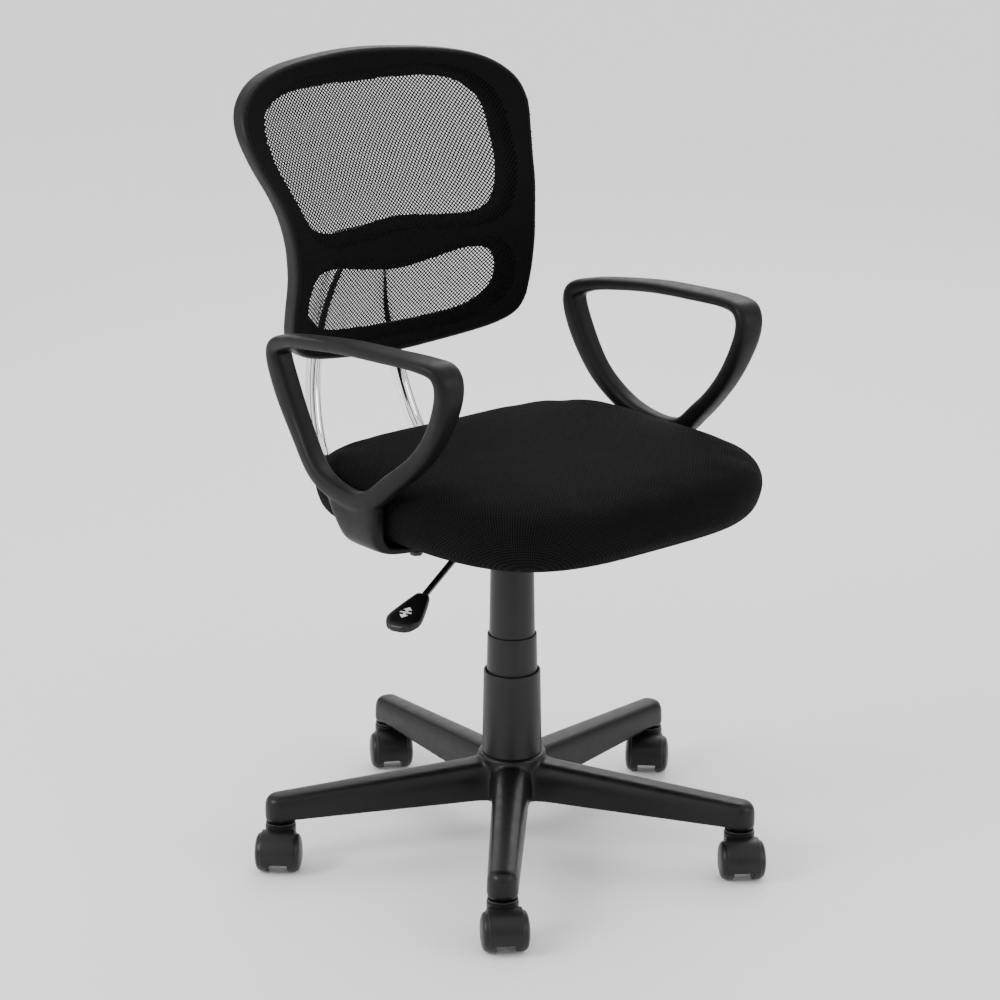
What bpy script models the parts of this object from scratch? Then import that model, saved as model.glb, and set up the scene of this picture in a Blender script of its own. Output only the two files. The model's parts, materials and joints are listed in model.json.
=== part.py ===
"""Swivel office chair with loop arms and a mesh back, as an assembly of separate solids.

Run it with: blender --background --python part.py
Lengths are metres. The chair faces -Y, +Z is up, and the floor is at z = 0. Seen by the
sitter, the right side is at -X. Every size that can be set by itself is a constant below.
"""

import math

import bmesh
import bpy
from mathutils import Matrix, Vector

MM = 0.001
TOUCH = 0.3 * MM  # gap left between faces that rest on each other
HIDDEN_DEPTH = 200.0 * MM  # how far a cutter runs past what it cuts

# Where the column stands, so that the whole chair's box is centred on the origin
COLUMN_X = 5.0 * MM
COLUMN_Y = -8.5 * MM

# Casters
WHEEL_RADIUS = 22.5 * MM
WHEEL_SIDES = 16
WHEEL_BULGE = 7.6 * MM  # how far a wheel's domed face stands out of the hood
WEB_WIDTH = 21.4 * MM  # the housing's middle, between the two wheels
HOOD_WIDTH = 37.6 * MM
HOOD_GAP = 0.8 * MM  # between the treads and the hood
HOOD_WALL = 1.8 * MM
HOOD_LIFT = 15.5 * MM  # height of the hood's lower edge over the floor
TRAIL = 23.0 * MM  # from the stem's axis to the axle
NECK_RADIUS = 17.5 * MM
NECK_RISE = 3.6 * MM  # neck above the top of the hood
STEM_BOSS_RADIUS = 9.0 * MM
STEM_RADIUS = 5.3 * MM
STEM_PIN_RADIUS = 4.0 * MM
STEM_PIN_DEPTH = 24.0 * MM
STEM_LENGTH = 24.0 * MM
AXLE_RADIUS = 3.0 * MM
AXLE_LENGTH = 39.0 * MM
CASTER_FACING = -130.0  # degrees, the way the axles trail
CASTER_TURNS = (-3.0, 6.0, 4.0, -5.0, 8.0)  # degrees, each caster's own turn from that

# Five-legged base
STEM_CIRCLE = 275.0 * MM
FIRST_LEG = 155.7  # degrees
LEG_COUNT = 5
LEG_HALF_WIDTH_HUB = 22.0 * MM
LEG_HALF_WIDTH_TIP = 17.5 * MM
LEG_HEIGHT_HUB = 48.5 * MM
LEG_HEIGHT_TIP = 29.0 * MM
LEG_WALL = 4.0 * MM
TIP_BOSS_RADIUS = 16.5 * MM
TIP_BOSS_DROP = 4.0 * MM  # how far the boss in a leg's tip stands out under the leg
LEG_POCKETS = 2
LEG_RIB = 3.5 * MM
HUB_RADIUS = 40.0 * MM
HUB_HEIGHT = 54.0 * MM
HUB_DROP = 1.5 * MM  # hub below the legs' lower edges

# Gas spring
TUBE_RADIUS = 25.0 * MM
TUBE_WALL = 1.5 * MM
TUBE_FLOOR = 3.0 * MM
TUBE_DROP = 6.5 * MM  # how far the tube stands out under the legs
TUBE_LENGTH = 146.0 * MM
BUSH_LENGTH = 34.0 * MM
CYLINDER_RADIUS = 14.0 * MM
CYLINDER_WALL = 1.4 * MM
CYLINDER_BOTTOM_UP = 66.0 * MM  # above the tube's lower end, half way up its travel
CYLINDER_FLOOR = 12.0 * MM
CYLINDER_CAP = 18.0 * MM
HEIGHT_TRAVEL = 50.0 * MM  # each way from the middle
ROD_RADIUS = 5.0 * MM
ROD_SPIGOT_RADIUS = 4.0 * MM
ROD_TOP_UP = 141.0 * MM
PISTON_HEIGHT = 8.0 * MM
BEARING_RADIUS = 12.0 * MM
BEARING_HEIGHT = 6.4 * MM
CLIP_RADIUS = 9.0 * MM
CLIP_HEIGHT = 2.0 * MM
BUTTON_RADIUS = 3.0 * MM
BUTTON_STAND = 4.5 * MM
BUTTON_SUNK = 8.0 * MM

# Telescopic cover: every sleeve is wider at its lower end
SLEEVE_DRAFT = 0.017
TOP_WALL = 1.2 * MM
MIDDLE_WALL = 1.4 * MM
LOWER_WALL = 2.2 * MM
SLEEVE_GAP = 0.3 * MM
LOWER_GAP = 1.0 * MM
LOWER_RIM_Z = 208.0 * MM
MIDDLE_RIM_Z = 252.0 * MM
MIDDLE_LENGTH = 100.0 * MM
TOP_LOWER_Z = 195.0 * MM

# Seat
SEAT_UNDERSIDE_Z = 413.0 * MM  # underside of the board, half way up the travel
SEAT_WIDTH = 434.0 * MM
SEAT_FRONT = 260.0 * MM  # from the column's axis
SEAT_REAR = 148.0 * MM
SEAT_SQUARENESS = 3.3
SEAT_POINTS = 32
CUSHION_HEIGHT = 73.0 * MM
CUSHION_TUCK = 18.0 * MM  # how far the cushion turns in under its widest line
BOARD_THICKNESS = 12.0 * MM
BOARD_INSET = 20.0 * MM
COVER_THICKNESS = 1.0 * MM
COVER_INSET = 24.0 * MM
SUPPORT_THICKNESS = 3.0 * MM
SUPPORT_HALF_WIDTH = 95.0 * MM
SUPPORT_FRONT = -95.0 * MM
SUPPORT_REAR = 128.0 * MM

# Seat mechanism
MECHANISM_SHEET = 2.5 * MM
MECHANISM_HALF_WIDTH = 90.0 * MM
MECHANISM_FRONT = -88.0 * MM
MECHANISM_REAR = 68.0 * MM
CHANNEL_HALF_WIDTH = 38.0 * MM
CHANNEL_DEPTH = 37.0 * MM
CHANNEL_FRONT = -62.0 * MM
CHANNEL_REAR = 55.0 * MM
SOCKET_WALL = 3.2 * MM
SOCKET_BELOW = 34.0 * MM
MECHANISM_BOLTS = ((75.0 * MM, -72.0 * MM), (75.0 * MM, 52.0 * MM))

# Height lever
LEVER_RADIUS = 3.75 * MM
LEVER_PRESS_GAP = 0.5 * MM
LEVER_KNEE = 48.0 * MM  # from the column's axis to the bend
LEVER_FORWARD = 22.0  # degrees, of the outer run from straight sideways
LEVER_DROP = 18.0  # degrees, of the outer run below level
LEVER_REACH = 152.0 * MM  # from the bend to the rod's end inside the paddle
LEVER_BEND_RADIUS = 14.0 * MM
PADDLE_LENGTH = 62.0 * MM
PADDLE_GRIP = 12.0 * MM  # rod inside the paddle
PADDLE_NECK_HALF = 9.0 * MM
PADDLE_HALF = 20.0 * MM
PADDLE_THICKNESS = 12.0 * MM

# Arms: y, height over the seat's underside, offset from the arm's plane, and half sizes
# of the section across the chair and in the loop's own plane
ARM_GAP = 1.5 * MM  # between the cushion's side and the arm's foot
ARM_FOOT_HALF = 10.0 * MM
ARM_LEAN = 16.0 * MM  # how far the loop's top stands in from the foot
ARM_LOOP = (
    (-122.0, 216.5, 9.0, 18.0, 7.0),
    (-62.0, 215.0, 12.0, 17.5, 6.8),
    (0.0, 212.0, 13.0, 16.5, 7.0),
    (62.0, 205.0, 12.0, 14.5, 7.2),
    (115.0, 194.5, 8.0, 14.0, 8.0),
    (141.0, 178.0, 5.0, 14.0, 9.5),
    (130.0, 142.0, 4.0, 13.5, 10.5),
    (96.0, 95.0, 6.0, 12.5, 10.5),
    (55.0, 62.0, 14.0, 12.0, 11.0),
    (6.0, 50.0, 17.0, 10.5, 12.0),
    (-34.0, 53.0, 17.0, 10.5, 12.5),
    (-70.0, 77.0, 11.0, 12.0, 11.0),
    (-105.0, 107.0, 3.5, 12.5, 10.0),
    (-133.0, 142.0, 1.0, 13.5, 10.5),
    (-152.5, 185.0, 2.0, 16.0, 10.5),
    (-149.0, 210.0, 4.0, 18.0, 8.5),
)
ARM_STEPS = 2
ARM_SECTION_POINTS = 10
ARM_SECTION_SQUARENESS = 3.0
# Foot: distance in from the foot's plane, y, height, half width along the chair, half depth
ARM_FOOT = (
    (0.0, -4.0, 68.0, 50.0, 8.0),
    (0.0, -11.0, 42.0, 43.0, 10.0),
    (1.0, -16.0, 20.0, 35.0, 10.0),
    (5.0, -18.5, 4.5, 30.5, 8.0),
    (17.0, -20.0, -5.0, 30.0, 5.2),
    (36.0, -24.0, -6.4, 33.0, 4.6),
    (80.0, -30.0, -6.4, 36.0, 4.6),
)
ARM_BOLT_INSET = 50.0 * MM
ARM_BOLT_SPACING = 44.0 * MM
ARM_BOLT_Y = -29.0 * MM

# Back bars, right-hand one: distance from the middle, y, z from the seat's underside
BAR_RADIUS = 9.5 * MM
BAR_PATH = (
    (76.0, 70.0, 0.0),
    (76.0, 150.0, 0.0),
    (76.0, 215.0, 1.0),
    (75.0, 252.0, 14.0),
    (71.5, 274.0, 45.0),
    (64.0, 290.0, 98.0),
    (50.0, 296.0, 166.0),
    (39.5, 287.0, 214.0),
    (33.0, 271.0, 250.0),
    (29.0, 253.0, 282.0),
)
BAR_STEPS = 3

# Back: the outline and windows are seen from the front, as distance from the middle and
# height over the seat's underside; the spine is y of the mesh's plane on the centre line
BACK_SPINE = (
    (120.0, 214.0),
    (185.0, 204.0),
    (255.0, 192.5),
    (318.0, 203.0),
    (378.0, 239.0),
    (430.0, 263.0),
    (490.0, 277.0),
)
BACK_CURVATURE = 1.04  # per metre: how fast the sides come forward
BACK_OUTLINE = (
    (0.0, 478.0),
    (66.0, 475.0),
    (126.0, 468.5),
    (168.0, 456.5),
    (196.0, 435.0),
    (205.0, 408.0),
    (200.5, 375.0),
    (189.0, 333.0),
    (181.5, 290.0),
    (179.5, 248.0),
    (179.5, 205.0),
    (175.0, 176.0),
    (161.0, 157.0),
    (126.0, 144.0),
    (66.0, 134.5),
    (0.0, 130.0),
)
UPPER_WINDOW = (
    (0.0, 440.0),
    (60.0, 440.0),
    (112.0, 436.0),
    (143.0, 423.0),
    (157.0, 401.0),
    (154.0, 362.0),
    (143.0, 324.0),
    (129.0, 297.0),
    (104.0, 287.0),
    (60.0, 288.0),
    (0.0, 293.0),
)
LOWER_WINDOW = (
    (0.0, 230.0),
    (50.0, 236.0),
    (98.0, 244.0),
    (126.0, 238.0),
    (137.0, 215.0),
    (130.0, 191.0),
    (100.0, 173.0),
    (50.0, 167.0),
    (0.0, 165.0),
)
RIM_DEPTH = 22.0 * MM
RIM_WIDTH = 9.0 * MM
PANEL_RECESS = 11.0 * MM
PANEL_THICKNESS = 3.5 * MM
MESH_THICKNESS = 1.2 * MM
MESH_INSET = 3.0 * MM
BACK_COLUMNS = 10
BACK_ROWS = 12
CURVE_RESOLUTION = 3
BOSS_HALF_WIDTH = 52.0 * MM
BOSS_LOW = 236.0 * MM
BOSS_HIGH = 279.0 * MM
BOSS_BACK = 286.0 * MM
BOSS_BACK_HIGH = 272.0 * MM
BOSS_ROUNDING = 6.0 * MM
BACK_SCREW_HEIGHT = 262.0 * MM

# Fasteners
BOLT_RADIUS = 3.2 * MM
BOLT_HOLE_RADIUS = 3.6 * MM
BOLT_HEAD_RADIUS = 7.0 * MM
BOLT_HEAD_HEIGHT = 4.0 * MM
BOLT_IN_BOARD = 8.0 * MM
SCREW_HEAD_RADIUS = 5.5 * MM
SCREW_HEAD_HEIGHT = 3.0 * MM

ROUND_STEPS = 20
SMALL_STEPS = 10

# Worked out from the sizes above
AXLE_Z = WHEEL_RADIUS
HOOD_INNER = WHEEL_RADIUS + HOOD_GAP
HOOD_OUTER = HOOD_INNER + HOOD_WALL
NECK_TOP_Z = AXLE_Z + HOOD_OUTER + NECK_RISE
TIP_BOSS_Z = NECK_TOP_Z + TOUCH
LEG_UNDERSIDE_Z = TIP_BOSS_Z + TIP_BOSS_DROP
HUB_BOTTOM_Z = LEG_UNDERSIDE_Z - HUB_DROP
HUB_TOP_Z = HUB_BOTTOM_Z + HUB_HEIGHT
TUBE_BOTTOM_Z = LEG_UNDERSIDE_Z - TUBE_DROP
TUBE_TOP_Z = TUBE_BOTTOM_Z + TUBE_LENGTH
CYLINDER_BOTTOM_Z = TUBE_BOTTOM_Z + CYLINDER_BOTTOM_UP
COVER_SHEET_TOP_Z = SEAT_UNDERSIDE_Z - TOUCH
FITTINGS_TOP_Z = COVER_SHEET_TOP_Z - COVER_THICKNESS - TOUCH
SUPPORT_BOTTOM_Z = FITTINGS_TOP_Z - SUPPORT_THICKNESS
MECHANISM_TOP_Z = SUPPORT_BOTTOM_Z - TOUCH
MECHANISM_BOTTOM_Z = MECHANISM_TOP_Z - MECHANISM_SHEET
CHANNEL_BOTTOM_Z = MECHANISM_BOTTOM_Z - CHANNEL_DEPTH
LEVER_Z = MECHANISM_BOTTOM_Z - CHANNEL_DEPTH / 2 + 5.0 * MM
CYLINDER_TOP_Z = LEVER_Z - LEVER_RADIUS - LEVER_PRESS_GAP - BUTTON_STAND
ARM_FOOT_X = SEAT_WIDTH / 2 + ARM_GAP + ARM_FOOT_HALF
BAR_Z = SUPPORT_BOTTOM_Z - TOUCH - BAR_RADIUS

BLACK_NYLON = ("black_nylon", (0.018, 0.018, 0.019), 0.45, 0.0)
BLACK_PLASTIC = ("black_plastic", (0.022, 0.022, 0.023), 0.5, 0.0)
WHEEL_PLASTIC = ("wheel_plastic", (0.028, 0.028, 0.030), 0.42, 0.0)
BLACK_PAINT = ("black_paint", (0.012, 0.012, 0.013), 0.3, 0.4)
CHROME = ("chrome", (0.78, 0.79, 0.80), 0.08, 1.0)
STEEL = ("steel", (0.55, 0.55, 0.56), 0.32, 1.0)
BUSH_PLASTIC = ("bush_plastic", (0.75, 0.74, 0.70), 0.5, 0.0)
SEAT_FABRIC = ("seat_fabric", (0.010, 0.010, 0.011), 0.95, 0.0)
BACK_NET = ("back_net", (0.011, 0.011, 0.012), 0.9, 0.0)
UNDER_CLOTH = ("under_cloth", (0.03, 0.03, 0.03), 0.95, 0.0)
PLYWOOD = ("plywood", (0.52, 0.38, 0.24), 0.7, 0.0)


def clear_scene():
    """Remove every object that the scene starts with."""
    for thing in list(bpy.data.objects):
        bpy.data.objects.remove(thing, do_unlink=True)


def make_collection(name):
    """Add a collection to the scene and return it."""
    collection = bpy.data.collections.new(name)
    bpy.context.scene.collection.children.link(collection)
    return collection


def finish(kind):
    """Return the Principled material of one finish, made once."""
    name, colour, roughness, metallic = kind
    material = bpy.data.materials.get(name)
    if material:
        return material
    material = bpy.data.materials.new(name)
    material.use_nodes = True
    shader = material.node_tree.nodes["Principled BSDF"]
    shader.inputs["Base Color"].default_value = (*colour, 1.0)
    shader.inputs["Roughness"].default_value = roughness
    shader.inputs["Metallic"].default_value = metallic
    return material


def polar(radius, degrees, z=0.0):
    """Point at a radius and an angle about the Z axis."""
    angle = math.radians(degrees)
    return Vector((radius * math.cos(angle), radius * math.sin(angle), z))


class Workshop:
    """Holds the two collections and turns meshes and curves into placed objects."""

    def __init__(self):
        self.parts = make_collection("swivel_office_chair")
        self.cutters = make_collection("cutters")

    def empty(self, name, location, parent=None, turn=0.0):
        """Add an empty on a joint's axis, turned about Z by an angle in degrees."""
        thing = bpy.data.objects.new(name, None)
        self.parts.objects.link(thing)
        thing.location = location
        thing.rotation_euler = (0.0, 0.0, math.radians(turn))
        thing.parent = parent
        return thing

    def part(self, name, data, kind, parent, location=(0, 0, 0), rotation=(0, 0, 0)):
        """Add one named sub-part with its finish."""
        thing = bpy.data.objects.new(name, data)
        self.parts.objects.link(thing)
        data.materials.append(finish(kind))
        thing.location = location
        thing.rotation_euler = rotation
        thing.parent = parent
        return thing

    def cutter(self, name, data, parent=None, location=(0, 0, 0), rotation=(0, 0, 0)):
        """Add a tool that Boolean modifiers use and that isn't part of the chair."""
        thing = bpy.data.objects.new(name, data)
        self.cutters.objects.link(thing)
        thing.hide_render = True
        thing.display_type = "WIRE"
        thing.location = location
        thing.rotation_euler = rotation
        thing.parent = parent
        return thing

    def mesh_of_curve(self, data, parent=None):
        """Turn a curve into a welded mesh and drop the curve."""
        thing = bpy.data.objects.new("curve_to_mesh", data)
        self.cutters.objects.link(thing)
        thing.parent = parent
        bpy.context.view_layer.update()
        graph = bpy.context.evaluated_depsgraph_get()
        mesh = bpy.data.meshes.new_from_object(thing.evaluated_get(graph))
        bpy.data.objects.remove(thing, do_unlink=True)
        shape = bmesh.new()
        shape.from_mesh(mesh)
        bmesh.ops.remove_doubles(shape, verts=shape.verts, dist=0.01 * MM)
        shape.to_mesh(mesh)
        shape.free()
        return mesh


def boolean(target, tool, operation="DIFFERENCE"):
    """Cut, join or intersect a part with a tool."""
    modifier = target.modifiers.new(f"{operation.lower()}_{tool.name}", "BOOLEAN")
    modifier.operation = operation
    modifier.solver = "EXACT"
    modifier.object = tool


def bevel(target, width, segments=2, angle=35.0):
    """Round the edges that are sharper than an angle."""
    modifier = target.modifiers.new("rounded_edges", "BEVEL")
    modifier.width = width
    modifier.segments = segments
    modifier.limit_method = "ANGLE"
    modifier.angle_limit = math.radians(angle)


def smooth(mesh, angle=35.0):
    """Shade a mesh smooth apart from its sharp edges."""
    mesh.shade_smooth()
    mesh.set_sharp_from_angle(angle=math.radians(angle))
    return mesh


def mesh_from(shape, name):
    """Write a bmesh out as a mesh with its faces pointing out."""
    bmesh.ops.recalc_face_normals(shape, faces=shape.faces)
    mesh = bpy.data.meshes.new(name)
    shape.to_mesh(mesh)
    shape.free()
    return smooth(mesh)


def box_mesh(name, low, high):
    """Box between two corners."""
    shape = bmesh.new()
    bmesh.ops.create_cube(shape, size=1.0)
    low, high = Vector(low), Vector(high)
    bmesh.ops.scale(shape, verts=shape.verts, vec=high - low)
    bmesh.ops.translate(shape, verts=shape.verts, vec=(low + high) / 2)
    return mesh_from(shape, name)


def add_rod(shape, start, end, radius, sides=SMALL_STEPS):
    """Add a capped cylinder between two points to a bmesh."""
    start, end = Vector(start), Vector(end)
    run = end - start
    turn = run.to_track_quat("Z", "Y").to_matrix().to_4x4()
    place = Matrix.Translation((start + end) / 2) @ turn
    bmesh.ops.create_cone(
        shape,
        cap_ends=True,
        segments=sides,
        radius1=radius,
        radius2=radius,
        depth=run.length,
        matrix=place,
    )


def rods_mesh(name, runs, radius, sides=SMALL_STEPS):
    """Mesh of separate cylinders, one for each pair of end points."""
    shape = bmesh.new()
    for start, end in runs:
        add_rod(shape, start, end, radius, sides)
    return mesh_from(shape, name)


def prism_mesh(name, outline, low_z, high_z):
    """Flat outline of (x, y) points carried from one height to another."""
    shape = bmesh.new()
    corners = [shape.verts.new((x, y, low_z)) for x, y in outline]
    face = shape.faces.new(corners)
    grown = bmesh.ops.extrude_face_region(shape, geom=[face])
    top = [item for item in grown["geom"] if isinstance(item, bmesh.types.BMVert)]
    bmesh.ops.translate(shape, verts=top, vec=(0.0, 0.0, high_z - low_z))
    return mesh_from(shape, name)


def loft_mesh(name, rings, closed=False):
    """Skin over rings of equally many points, capped at both ends unless it is a loop."""
    shape = bmesh.new()
    rows = [[shape.verts.new(point) for point in ring] for ring in rings]
    count = len(rows[0])
    pairs = list(zip(rows, rows[1:]))
    if closed:
        pairs.append((rows[-1], rows[0]))
    else:
        shape.faces.new(rows[0])
        shape.faces.new(rows[-1])
    for here, there in pairs:
        for index in range(count):
            after = (index + 1) % count
            shape.faces.new((here[index], here[after], there[after], there[index]))
    return mesh_from(shape, name)


def turned_profile(name, profile):
    """Closed outline of (radius, z) points, ready for a Screw modifier."""
    mesh = bpy.data.meshes.new(name)
    points = [(radius, 0.0, z) for radius, z in profile]
    open_on_axis = profile[0][0] == 0.0 and profile[-1][0] == 0.0
    last = len(points) - 1 if open_on_axis else len(points)
    edges = [(index, (index + 1) % len(points)) for index in range(last)]
    mesh.from_pydata(points, edges, [])
    return mesh


def turn(thing, steps=ROUND_STEPS):
    """Turn a part's profile about its own Z axis."""
    modifier = thing.modifiers.new("turned", "SCREW")
    modifier.axis = "Z"
    modifier.angle = math.tau
    modifier.steps = steps
    modifier.render_steps = steps
    modifier.use_merge_vertices = True
    modifier.merge_threshold = 0.01 * MM
    modifier.use_smooth_shade = True
    return thing


def ring_profile(inner, outer, low, high):
    """Profile of a plain ring: down its outer side, then up its bore."""
    return [(outer, high), (outer, low), (inner, low), (inner, high)]


def blend_points(points, steps, closed=False):
    """Points along a smooth Catmull-Rom curve through rows of numbers."""
    count = len(points)
    out = []
    spans = count if closed else count - 1
    for span in range(spans):
        if closed:
            before, here, there, after = (points[(span + k - 1) % count] for k in range(4))
        else:
            before = points[max(span - 1, 0)]
            here, there = points[span], points[span + 1]
            after = points[min(span + 2, count - 1)]
        for step in range(steps):
            t = step / steps
            out.append(
                tuple(
                    0.5
                    * (
                        2 * b
                        + (c - a) * t
                        + (2 * a - 5 * b + 4 * c - d) * t * t
                        + (3 * b - a - 3 * c + d) * t * t * t
                    )
                    for a, b, c, d in zip(before, here, there, after)
                )
            )
    if not closed:
        out.append(tuple(points[-1]))
    return out


def rounded_section(centre, across, along, half_across, half_along, count, squareness):
    """Ring of points on a superellipse spanned by two directions."""
    ring = []
    for index in range(count):
        angle = math.tau * (index + 0.5) / count
        c, s = math.cos(angle), math.sin(angle)
        u = half_across * math.copysign(abs(c) ** (2.0 / squareness), c)
        v = half_along * math.copysign(abs(s) ** (2.0 / squareness), s)
        ring.append(centre + across * u + along * v)
    return ring


def pipe_curve(name, points, radius, sides_resolution=3):
    """Round rod along a POLY spline, with filled ends."""
    curve = bpy.data.curves.new(name, "CURVE")
    curve.dimensions = "3D"
    curve.bevel_depth = radius
    curve.bevel_resolution = sides_resolution
    curve.use_fill_caps = True
    spline = curve.splines.new("POLY")
    spline.points.add(len(points) - 1)
    for slot, point in zip(spline.points, points):
        slot.co = (*point, 1.0)
    return curve


# ---------------------------------------------------------------- base and casters


def leg_sections(half_hub, half_tip, height_hub, height_tip, low, start, end, rounded):
    """Rings of one leg along +X, from start to end, with a round tip if asked."""
    sections = []

    def ring(x, half, top):
        shoulder = low + (top - low) * 0.62
        crown = top - (top - low) * 0.12
        return [
            Vector((x, -half, low)),
            Vector((x, half, low)),
            Vector((x, half * 0.98, shoulder)),
            Vector((x, half * 0.72, crown)),
            Vector((x, half * 0.28, top)),
            Vector((x, -half * 0.28, top)),
            Vector((x, -half * 0.72, crown)),
            Vector((x, -half * 0.98, shoulder)),
        ]

    def size(x):
        share = x / STEM_CIRCLE
        half = half_hub + (half_tip - half_hub) * share
        top = low + height_hub + (height_tip - height_hub) * share
        return half, top

    for share in (0.0, 0.5, 1.0):
        x = start + (end - start) * share
        sections.append(ring(x, *size(x)))
    if rounded:
        half, top = size(end)
        for angle in (28.0, 54.0, 78.0):
            turned = math.radians(angle)
            drop = (top - low) * 0.45 * (1.0 - math.cos(turned))
            sections.append(ring(end + half * math.sin(turned), half * math.cos(turned), top - drop))
    return sections


def make_base(shop, column):
    """Star base: a hub and five tapered hollow legs with a stem bore in each tip."""
    hub = shop.part(
        "star_base",
        rods_mesh("star_base", [((0, 0, HUB_BOTTOM_Z), (0, 0, HUB_TOP_Z))], HUB_RADIUS, ROUND_STEPS),
        BLACK_NYLON,
        column,
    )
    solid = leg_sections(
        LEG_HALF_WIDTH_HUB, LEG_HALF_WIDTH_TIP, LEG_HEIGHT_HUB, LEG_HEIGHT_TIP,
        LEG_UNDERSIDE_Z, HUB_RADIUS * 0.7, STEM_CIRCLE, True,
    )
    leg_mesh = loft_mesh("leg", solid)
    first_pocket = HUB_RADIUS + LEG_WALL
    last_pocket = STEM_CIRCLE - TIP_BOSS_RADIUS - LEG_RIB
    length = (last_pocket - first_pocket - (LEG_POCKETS - 1) * LEG_RIB) / LEG_POCKETS
    pocket_meshes = []
    for index in range(LEG_POCKETS):
        start = first_pocket + index * (length + LEG_RIB)
        rings = leg_sections(
            LEG_HALF_WIDTH_HUB - LEG_WALL, LEG_HALF_WIDTH_TIP - LEG_WALL,
            LEG_HEIGHT_HUB - LEG_WALL, LEG_HEIGHT_TIP - LEG_WALL,
            LEG_UNDERSIDE_Z - TOUCH, start, start + length, False,
        )
        pocket_meshes.append(loft_mesh(f"leg_pocket_{index + 1}", rings))
    for number in range(LEG_COUNT):
        angle = math.radians(FIRST_LEG + 360.0 / LEG_COUNT * number)
        leg = shop.cutter(f"leg_{number + 1}", leg_mesh, column, rotation=(0, 0, angle))
        boolean(hub, leg, "UNION")
    for number in range(LEG_COUNT):
        degrees = FIRST_LEG + 360.0 / LEG_COUNT * number
        for index, mesh in enumerate(pocket_meshes):
            name = f"leg_{number + 1}_pocket_{index + 1}"
            turned = (0, 0, math.radians(degrees))
            boolean(hub, shop.cutter(name, mesh, column, rotation=turned))
    bore_top = TIP_BOSS_Z + STEM_LENGTH + TOUCH
    boss_runs, bore_runs = [], []
    for number in range(LEG_COUNT):
        spot = polar(STEM_CIRCLE, FIRST_LEG + 360.0 / LEG_COUNT * number)
        top = spot + Vector((0, 0, bore_top))
        boss_runs.append((spot + Vector((0, 0, TIP_BOSS_Z)), top))
        bore_runs.append((spot + Vector((0, 0, TIP_BOSS_Z - HIDDEN_DEPTH)), top))
    bosses = rods_mesh("tip_bosses", boss_runs, TIP_BOSS_RADIUS, ROUND_STEPS)
    boolean(hub, shop.cutter("tip_bosses", bosses, column), "UNION")
    bores = rods_mesh("stem_bores", bore_runs, STEM_RADIUS + TOUCH)
    boolean(hub, shop.cutter("stem_bores", bores, column))
    bore = rods_mesh("tube_bore", [((0, 0, 0), (0, 0, HUB_TOP_Z + HIDDEN_DEPTH))], TUBE_RADIUS + TOUCH, ROUND_STEPS)
    boolean(hub, shop.cutter("tube_bore", bore, column))


def caster_meshes(shop):
    """Meshes that all casters share: wells, floor cut and bores for the housing."""
    well_length = HOOD_WIDTH
    inner = WEB_WIDTH / 2
    centre = Vector((0.0, -TRAIL, AXLE_Z))
    side = Vector((1.0, 0.0, 0.0))
    runs = [
        (centre + side * inner, centre + side * (inner + well_length)),
        (centre - side * inner, centre - side * (inner + well_length)),
    ]
    wells = rods_mesh("wheel_wells", runs, HOOD_INNER, ROUND_STEPS)
    reach = TRAIL + 2 * HOOD_OUTER
    floor = box_mesh("hood_floor_cut", (-reach, -reach, -HOOD_LIFT), (reach, reach, HOOD_LIFT))
    neck = rods_mesh(
        "caster_neck", [((0, 0, AXLE_Z + WHEEL_RADIUS / 2), (0, 0, NECK_TOP_Z))], NECK_RADIUS, ROUND_STEPS
    )
    boss_low = NECK_TOP_Z - STEM_PIN_DEPTH - 3 * HOOD_WALL
    boss = rods_mesh("stem_boss", [((0, 0, boss_low), (0, 0, NECK_TOP_Z - HOOD_WALL))], STEM_BOSS_RADIUS)
    pin_low = NECK_TOP_Z - STEM_PIN_DEPTH - TOUCH
    pin = rods_mesh(
        "stem_pin_bore", [((0, 0, pin_low), (0, 0, NECK_TOP_Z + HIDDEN_DEPTH))], STEM_PIN_RADIUS + TOUCH
    )
    axle = rods_mesh(
        "axle_bore", [(centre - side * HOOD_WIDTH, centre + side * HOOD_WIDTH)], AXLE_RADIUS + TOUCH
    )
    return {"neck": neck, "boss": boss, "wells": wells, "floor": floor, "pin": pin, "axle": axle}


def wheel_profile():
    """Half of a wheel's section: its axis is Z, and the domed face looks along +Z."""
    tread = WHEEL_RADIUS / math.cos(math.pi / WHEEL_SIDES)
    inner = WEB_WIDTH / 2 + TOUCH
    edge = HOOD_WIDTH / 2 + TOUCH
    face = edge + WHEEL_BULGE
    bore = AXLE_RADIUS + TOUCH
    bore_end = AXLE_LENGTH / 2 + TOUCH
    return [
        (0.0, face),
        (tread * 0.56, face - 0.9 * MM),
        (tread * 0.86, face - 3.6 * MM),
        (tread, edge),
        (tread, inner + 1.3 * MM),
        (tread - 1.3 * MM, inner),
        (bore, inner),
        (bore, bore_end),
        (0.0, bore_end),
    ]


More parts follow.
